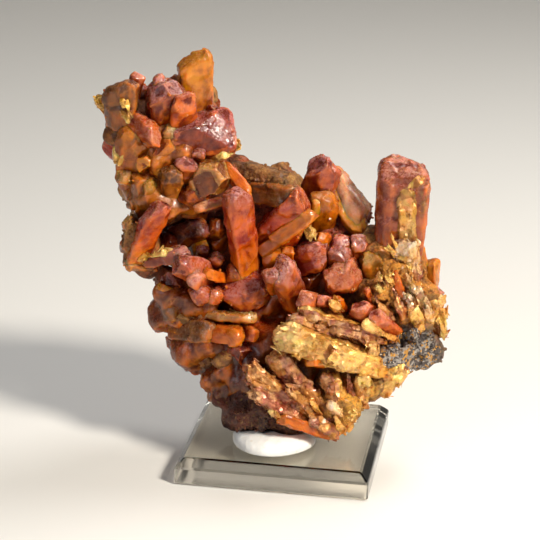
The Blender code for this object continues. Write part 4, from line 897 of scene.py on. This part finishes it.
# Colours of the rock by place: middle, how far it reaches, colour
rockPatches = (
    ((-10, -6, 16), 9, (98, 40, 16)),
    ((-3, -8, 9), 6, (84, 40, 18)),
    ((-17, -4, 28), 8, (128, 58, 24)),
    ((22, -4, 21), 7, (84, 76, 66)),
    ((-22, -3, 59), 9, (172, 100, 34)),
    ((-28, 0, 46), 9, (172, 108, 44)),
    ((-14, 8, 43), 9, (128, 38, 14)),
    ((2, 2, 40), 11, (164, 62, 22)),
    ((-6, 0, 28), 8, (160, 60, 20)),
    ((19, -4, 34), 8, (206, 132, 44)),
    ((14, -8, 15), 6, (212, 148, 50)),
    ((0, 16, 30), 14, (120, 66, 30)),
    ((12, 12, 24), 10, (142, 94, 44)),
    ((-20, 12, 58), 10, (138, 76, 36)),
)


def rockColours(places):
    total, weights = 0, 0
    for middle, reach, chip in rockPatches:
        weight = 1 / (0.04 + (np.linalg.norm(places - np.array(middle), axis=1) / reach) ** 4)
        total = total + weight[:, None] * np.array(colour(*chip))
        weights = weights + weight[:, None]
    return total / weights


def rockBody(name, lumps, inset, sinking=0.0, grain=None):
    bm = bmesh.new()
    turn = showFace["turn"]
    axes = Matrix(((math.cos(turn), 0, math.sin(turn)), (math.sin(turn), 0, -math.cos(turn)), (0, 1, 0)))
    for middle, halves in (rockLumps[lump] for lump in lumps):
        lump = bmesh.ops.create_icosphere(bm, subdivisions=4, radius=1)
        for vert in lump["verts"]:
            vert.co = spot(*middle) + axes @ (vert.co * Vector(halves)) * mm
    mesh = bpy.data.meshes.new("lumps")
    bm.to_mesh(mesh)
    bm.free()
    rough = linked("rough", mesh)
    fuse = rough.modifiers.new("fuse", "REMESH")
    fuse.mode = "VOXEL"
    fuse.voxel_size = rockForm["voxel"] * mm
    fused = evaluated(rough)
    bpy.data.objects.remove(rough)
    points = []
    for vert in fused.vertices:
        wave = noise.noise(vert.co / mm * rockForm["roughnessScale"]) * 2 * rockForm["roughness"]
        sunk = max(0.0, vert.co.y / mm - rockForm["sinkFrom"]) * sinking
        points.append(vert.co + vert.normal * ((wave - inset - sunk) * mm))
    count = len(points)
    places = np.array(points) / mm
    tint = rockColours(places)
    waxyX, waxyY, waxyZ = rockForm["waxy"]
    waxy = (places[:, 0] < waxyX) & ((places[:, 1] < waxyY) | (places[:, 2] > waxyZ))
    fromSpeckled = np.linalg.norm(places - np.array(rockForm["speckled"]), axis=1)
    facts = {
        "tint": tint,
        "dustAndSheenTint": tint * 1.35 + np.array((0.014, 0.007, 0.003)),
        "own": places,
        "dustAndSheenShare": np.full(count, rockForm["dustAndSheenShare"]),
        "grain": np.full(count, grain) if grain else np.where(waxy, rockForm["waxyGrain"], 1.0),
        "flutes": np.ones(count),
        "foil": 0.7 / (1 + (fromSpeckled / rockForm["speckledReach"]) ** 6),
    }
    return addOpenness(meshFrom(name, points, [list(face.vertices) for face in fused.polygons], facts))


areas = {"tower": crown + brow, "bowl": bowl + ledge + wall + foot, "flank": flank, "back": backCrystals()}
grown = {area: [grow(*row) for _, *row in rows] for area, rows in areas.items()}
everywhere = [crystal for crystals in grown.values() for crystal in crystals]
pieces = []


def keep(piece):
    pieces.append(piece)
    print(f"{piece.name}: {len(piece.data.polygons)} faces")
    return piece


def crystalPiece(name, crystals, stuff, material):  # those of the crystals that are of this stuff
    return keep(worn(together(name, [crystal for crystal in crystals if crystal["stuff"] == stuff]), material))


waxyAreas = [crystalPiece(f"waxy_{area}", crystals, "wax", waxStuff) for area, crystals in grown.items()]
foilBlades = crystalPiece("foil_blades", everywhere, "foil", foilStuff)
roughCrystals = crystalPiece("rough_crystals", everywhere, "rock", rockStuff)

# The rock itself, and over it on the left and middle a mass of fused crystals
rockWear = {"Wave": 0.3, "Grain": 0.7, "Flute": 0.0}
rockCore = keep(worn(rockBody("rock_body", rockLumps, rockForm["inset"]), rockStuff, rockWear))
glassy = {
    "lumps": "tower, tower back, neck, cavity wall, middle, left belly, left heel, belly, heel".split(", "),
    "inset": -0.5,  # it stands out past the rock
    "sinking": 0.35,
    "grain": 0.7,
}
glassyWear = {"Chip": 0.35, "Flute": 0.9}
keep(worn(rockBody("glassy_mass", **glassy), waxStuff, glassyWear))

# Loose growth on the surfaces: stubby grains on the rough parts, curled leaves on the foil
grainSizes = {"Density": 1.3, "Least": 0.25, "Most": 0.75, "Bareness": 0.3, "Seed": 4}
leafSizes = {"Density": 0.75, "Least": 0.4, "Most": 1.1, "Bareness": 0.4, "Seed": 9}


def randomly(nodes, low, high, seed):  # three numbers for each instance
    values = {0: low, 1: high, "Seed": seed}
    return nodes.add("FunctionNodeRandomValue", {"data_type": "FLOAT_VECTOR"}, values)


def sizedRandomly(nodes, given, seed):
    picked = nodes.add("FunctionNodeRandomValue", {"data_type": "FLOAT"}, {2: 0.0, 3: 1.0, "Seed": seed}, 1)
    return (given["Least"] + (given["Most"] - given["Least"]) * picked * picked) * mm


def strewn(nodes, given, chosen):  # random points on a surface, and which way it faces at each
    node = nodes.tree.nodes.new("GeometryNodeDistributePointsOnFaces")
    share = given["Density"] * 1e6 * chosen
    for name, wire in (("Mesh", given["Geometry"]), ("Density", share), ("Seed", given["Seed"])):
        nodes.tree.links.new(wire.socket, node.inputs[name])
    return Wire(nodes, node.outputs["Points"]), Wire(nodes, node.outputs["Rotation"])


def placed(nodes, points, shape, rotation, scale):
    values = {"Points": points, "Instance": shape, "Rotation": rotation, "Scale": scale}
    return nodes.add("GeometryNodeInstanceOnPoints", None, values)


def grainTree(material):
    nodes, given = geometryTree("grains", grainSizes)
    patchy = nodes.noise(nodes.inMm(nodes.add("GeometryNodeInputPosition")), 0.35, 3)
    chosen = (named(nodes, "open") > given["Bareness"]) * named(nodes, "grain") * patchy.ramp(0.38, 0.62)
    points, rotation = strewn(nodes, given, chosen)
    values = {"Vertices": 5, "Side Segments": 1, "Radius Top": 0.42, "Radius Bottom": 0.55, "Depth": 1.1}
    prism = nodes.add("GeometryNodeMeshCone", {"fill_type": "NGON"}, values)
    sunk = nodes.add("GeometryNodeTransform", None, {"Geometry": prism, "Translation": (0, 0, -0.45)})
    tilt = randomly(nodes, (-0.7, -0.7, 0), (0.7, 0.7, 6.3), 5)
    turned = nodes.add("FunctionNodeRotateRotation", {"rotation_space": "LOCAL"}, [rotation, tilt])
    stretch = randomly(nodes, (0.7, 0.7, 0.7), (1.2, 1.2, 1.5), 6)
    scale = nodes.vector("SCALE", {0: stretch, "Scale": sizedRandomly(nodes, given, 7)})
    endTree(nodes, placed(nodes, points, sunk, turned, scale), material)
    return nodes.tree


def leafTree(material):
    nodes, given = geometryTree("leaves", leafSizes)
    chosen = (named(nodes, "open") > given["Bareness"]) * named(nodes, "foil")
    points, rotation = strewn(nodes, given, chosen)
    values = {"Size": (2.2, 1.0, 0.16), "Vertices X": 5, "Vertices Y": 3, "Vertices Z": 2}
    plate = nodes.add("GeometryNodeMeshCube", None, values)
    where = nodes.add("GeometryNodeInputPosition")
    ends = nodes.axis(where, "X")
    narrow = 1 - (ends * ends * 0.55)
    curl = nodes.add("ShaderNodeCombineXYZ", None, {"Z": ends * ends * 0.24})
    slim = nodes.add("ShaderNodeCombineXYZ", None, {"X": 1.0, "Y": narrow, "Z": narrow})
    shaped = nodes.vector("MULTIPLY_ADD", [where, slim, curl])
    leaf = nodes.add("GeometryNodeSetPosition", None, {"Geometry": plate, "Position": shaped})
    aimed = {"Rotation": rotation, "Vector": named(nodes, "way")}
    rotation = nodes.add("FunctionNodeAlignRotationToVector", {"axis": "X", "pivot_axis": "Z"}, aimed)
    tilt = randomly(nodes, (-0.4, -0.3, -0.4), (0.4, 0.05, 0.4), 11)
    turned = nodes.add("FunctionNodeRotateRotation", {"rotation_space": "LOCAL"}, [rotation, tilt])
    stretch = randomly(nodes, (0.7, 0.6, 0.6), (1.3, 1.1, 1.2), 12)
    scale = nodes.vector("SCALE", {0: stretch, "Scale": sizedRandomly(nodes, given, 13)})
    endTree(nodes, placed(nodes, points, leaf, turned, scale), material)
    return nodes.tree


def scattered(name, carrier, tree, sizes):
    mesh = applied(carrier, tree, sizes)
    mesh.name = name
    insideBox(mesh)
    keep(linked(name, mesh))


scattered("rock_grains", rockCore, grainTree(rockStuff), grainSizes)
scattered("rough_grains", roughCrystals, grainTree(rockStuff), {**grainSizes, "Density": 0.9})
for area, carrier in zip(areas, waxyAreas):
    scattered(f"{area}_grains", carrier, grainTree(waxStuff), {**grainSizes, "Density": 0.3, "Most": 0.55})
scattered("foil_leaves", foilBlades, leafTree(foilStuff), leafSizes)
for piece in pieces:
    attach(piece, "root")
    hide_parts("orpiment_specimen")

# The pat of putty: a low dome with a rounded rim, pressed flat under the specimen's foot
puttyForm = {
    "middle": (-2.2, -6.6),
    "base": 4.9,
    "radius": 7.4,
    "height": 3.4,
    "rim": 1.0,
    "wobble": 0.03,
    "press": 0.5,  # gap under the specimen, as in the solid
    "rings": 40,
    "sides": 120,
}


def puttyPat():
    middle = Matrix.Rotation(showFace["turn"], 3, "Z") @ Vector((*puttyForm["middle"], 0))
    rings, sides, points = puttyForm["rings"], puttyForm["sides"], []
    for k in range(rings):
        share = math.sin(math.pi / 2 * (k + 1) / rings)
        for j in range(sides):
            angle = 2 * math.pi * j / sides
            edge = puttyForm["radius"] * (1 + puttyForm["wobble"] * math.sin(3 * angle + 0.6)) * share
            place = middle + Vector((math.cos(angle) * edge, math.sin(angle) * edge, puttyForm["base"]))
            roof = rockTree.ray_cast(place * mm, Vector((0, 0, 1)))[0]
            dome = puttyForm["rim"] + (puttyForm["height"] - puttyForm["rim"]) * math.sqrt(1 - share**4)
            if roof:
                dome = min(dome, roof.z / mm - puttyForm["base"] - puttyForm["press"])
            place.z += max(dome, 0.2)
            points.append(place * mm)
    for j in range(sides):
        point = points[(rings - 1) * sides + j].copy()
        point.z = puttyForm["base"] * mm
        points.append(point)
    k = np.arange((rings + 1) * sides).reshape(rings + 1, sides)
    around = np.roll(k, 1, axis=1)
    faces = np.stack((around[:-1], k[:-1], k[1:], around[1:]), axis=-1).reshape(-1, 4)[:, ::-1].tolist()
    faces += [k[0].tolist(), k[-1, ::-1].tolist()]
    made = meshFrom("putty_pat", points, faces, {})
    soften = made.modifiers.new("soften", "CORRECTIVE_SMOOTH")
    soften.iterations = 6
    soften.use_only_smooth = True
    made.data = evaluated(made)
    made.modifiers.clear()
    insideBox(made.data)
    made.data.shade_smooth()
    return made


def puttyMaterial():
    made, nodes = newMaterial("moldedPutty")
    place = objectPlace(nodes)
    kneaded = nodes.noise(place, 0.3, 4, 0.6)
    base = nodes.blend(kneaded.ramp(0.3, 0.75), solid(232, 230, 224), solid(246, 244, 240))
    rustStain = nodes.noise(place, 0.9, 3).ramp(0.6, 0.75) * 0.25
    base = nodes.blend(rustStain, base, solid(206, 178, 138))
    prints = nodes.noise(place, 0.8, 3, 0.5) + nodes.noise(nodes.scaled(place, (3, 3, 9)), 1, 2) * 0.12
    endMaterial(nodes, {
        "Base Color": base,
        "Roughness": kneaded * 0.2 + 0.4,
        "Subsurface Weight": 0.25,
        "Subsurface Radius": (1, 0.9, 0.8),
        "Subsurface Scale": 1.2 * mm,
        "Normal": raised(nodes, prints, 0.35, 0.6),
    })
    return made


putty = puttyPat()
putty.data.materials.append(puttyMaterial())
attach(putty, "root")
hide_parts("mounting_putty")


def acrylicMaterial():
    made, nodes = newMaterial("clearAcrylic")
    place = objectPlace(nodes)
    rubbed = nodes.noise(place, 0.25, 4, 0.6)
    scratch = nodes.noise(nodes.scaled(place, (0.4, 6, 6)), 1, 2)
    scratch = scratch + nodes.noise(nodes.scaled(place, (6, 0.5, 6)), 1, 2)
    endMaterial(nodes, {
        "Base Color": nodes.blend(rubbed, solid(250, 246, 236), solid(255, 253, 247)),
        "Roughness": rubbed.ramp(0.45, 0.8) * 0.1 + 0.03,
        "Transmission Weight": 1,
        "IOR": 1.49,
        "Normal": raised(nodes, scratch, 0.02, 0.25),
    })
    inside = nodes.add("ShaderNodeVolumeAbsorption", None, {"Color": solid(228, 212, 180), "Density": 12.0})
    result = next(node for node in nodes.tree.nodes if node.type == "OUTPUT_MATERIAL")
    nodes.tree.links.new(inside.socket, result.inputs["Volume"])
    return made


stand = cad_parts["acrylic_stand"]
stand.data.materials.clear()
stand.data.materials.append(acrylicMaterial())
print("putty and stand done")

# A pale floor that curves up behind, soft lights and the photograph's view
studio = {
    "floor": (232, 229, 223),
    "sky": 0.12,
    "key": {"place": (0.26, -0.18, 0.29), "size": 0.08, "power": 2.3, "warmth": (255, 248, 236)},
    "fill": {"place": (-0.22, -0.40, 0.20), "size": 0.26, "power": 0.45, "warmth": (236, 242, 255)},
    "top": {"place": (0.12, 0.15, 0.38), "size": 0.18, "power": 0.8, "warmth": (255, 255, 255)},
    "lookAt": (-0.002, 0, 0.036),
}


def floorMesh():
    bm = bmesh.new()
    bend, steps = 0.3, 8  # radius in metres
    turns = [k / steps * math.pi / 2 for k in range(1, steps + 1)]
    curve = [(0.5 + bend * math.sin(turn), bend - bend * math.cos(turn)) for turn in turns]
    sweep = [(-0.9, 0), (0.5, 0), *curve, (0.8, 1.2)]
    rows = [[bm.verts.new((x, y, z - 0.0002)) for x in (-1.6, 1.6)] for y, z in sweep]
    for near, far in zip(rows, rows[1:]):
        bm.faces.new((near[0], near[1], far[1], far[0]))
    mesh = bpy.data.meshes.new("floor")
    bm.to_mesh(mesh)
    bm.free()
    mesh.shade_smooth()
    made = linked("floor", mesh)
    surface, nodes = newMaterial("paleFloor")
    endMaterial(nodes, {"Base Color": solid(*studio["floor"]), "Roughness": 0.6})
    mesh.materials.append(surface)


def softLight(name, place, size, power, warmth):
    light = bpy.data.lights.new(name, "AREA")
    light.shape = "DISK"
    light.size = size
    light.energy = power
    light.color = colour(*warmth)
    made = linked(name, light)
    made.location = place
    made.rotation_euler = (Vector(studio["lookAt"]) - Vector(place)).to_track_quat("-Z", "Y").to_euler()


floorMesh()
for name in ("key", "fill", "top"):
    softLight(name, **studio[name])
scene.view_settings.view_transform = "Standard"
scene.world = bpy.data.worlds.new("studio")
scene.world.use_nodes = True
background = scene.world.node_tree.nodes["Background"]
background.inputs["Color"].default_value = (1, 1, 1, 1)
background.inputs["Strength"].default_value = studio["sky"]

# The photograph's view, in millimetres and degrees
view = {"turn": 8.5, "height": 19.1, "roll": 1.4, "distance": 400, "across": -2.7, "up": 33.3, "lens": 146.67}


def photoCamera():
    turn, height, roll = (math.radians(view[name]) for name in ("turn", "height", "roll"))
    back = Vector((math.sin(turn) * math.cos(height), -math.cos(turn) * math.cos(height), math.sin(height)))
    right = Vector((math.cos(turn), math.sin(turn), 0))
    up = back.cross(right)
    side = right * math.cos(roll) + up * math.sin(roll)
    top = up * math.cos(roll) - right * math.sin(roll)
    made = linked("camera", bpy.data.cameras.new("camera"))
    made.data.lens = view["lens"]
    made.data.clip_start = 0.01
    pose = Matrix((side, top, back)).transposed().to_4x4()
    pose.translation = (side * view["across"] + top * view["up"] + back * view["distance"]) * mm
    made.matrix_world = pose
    scene.camera = made


photoCamera()
print("floor, lights and camera done")
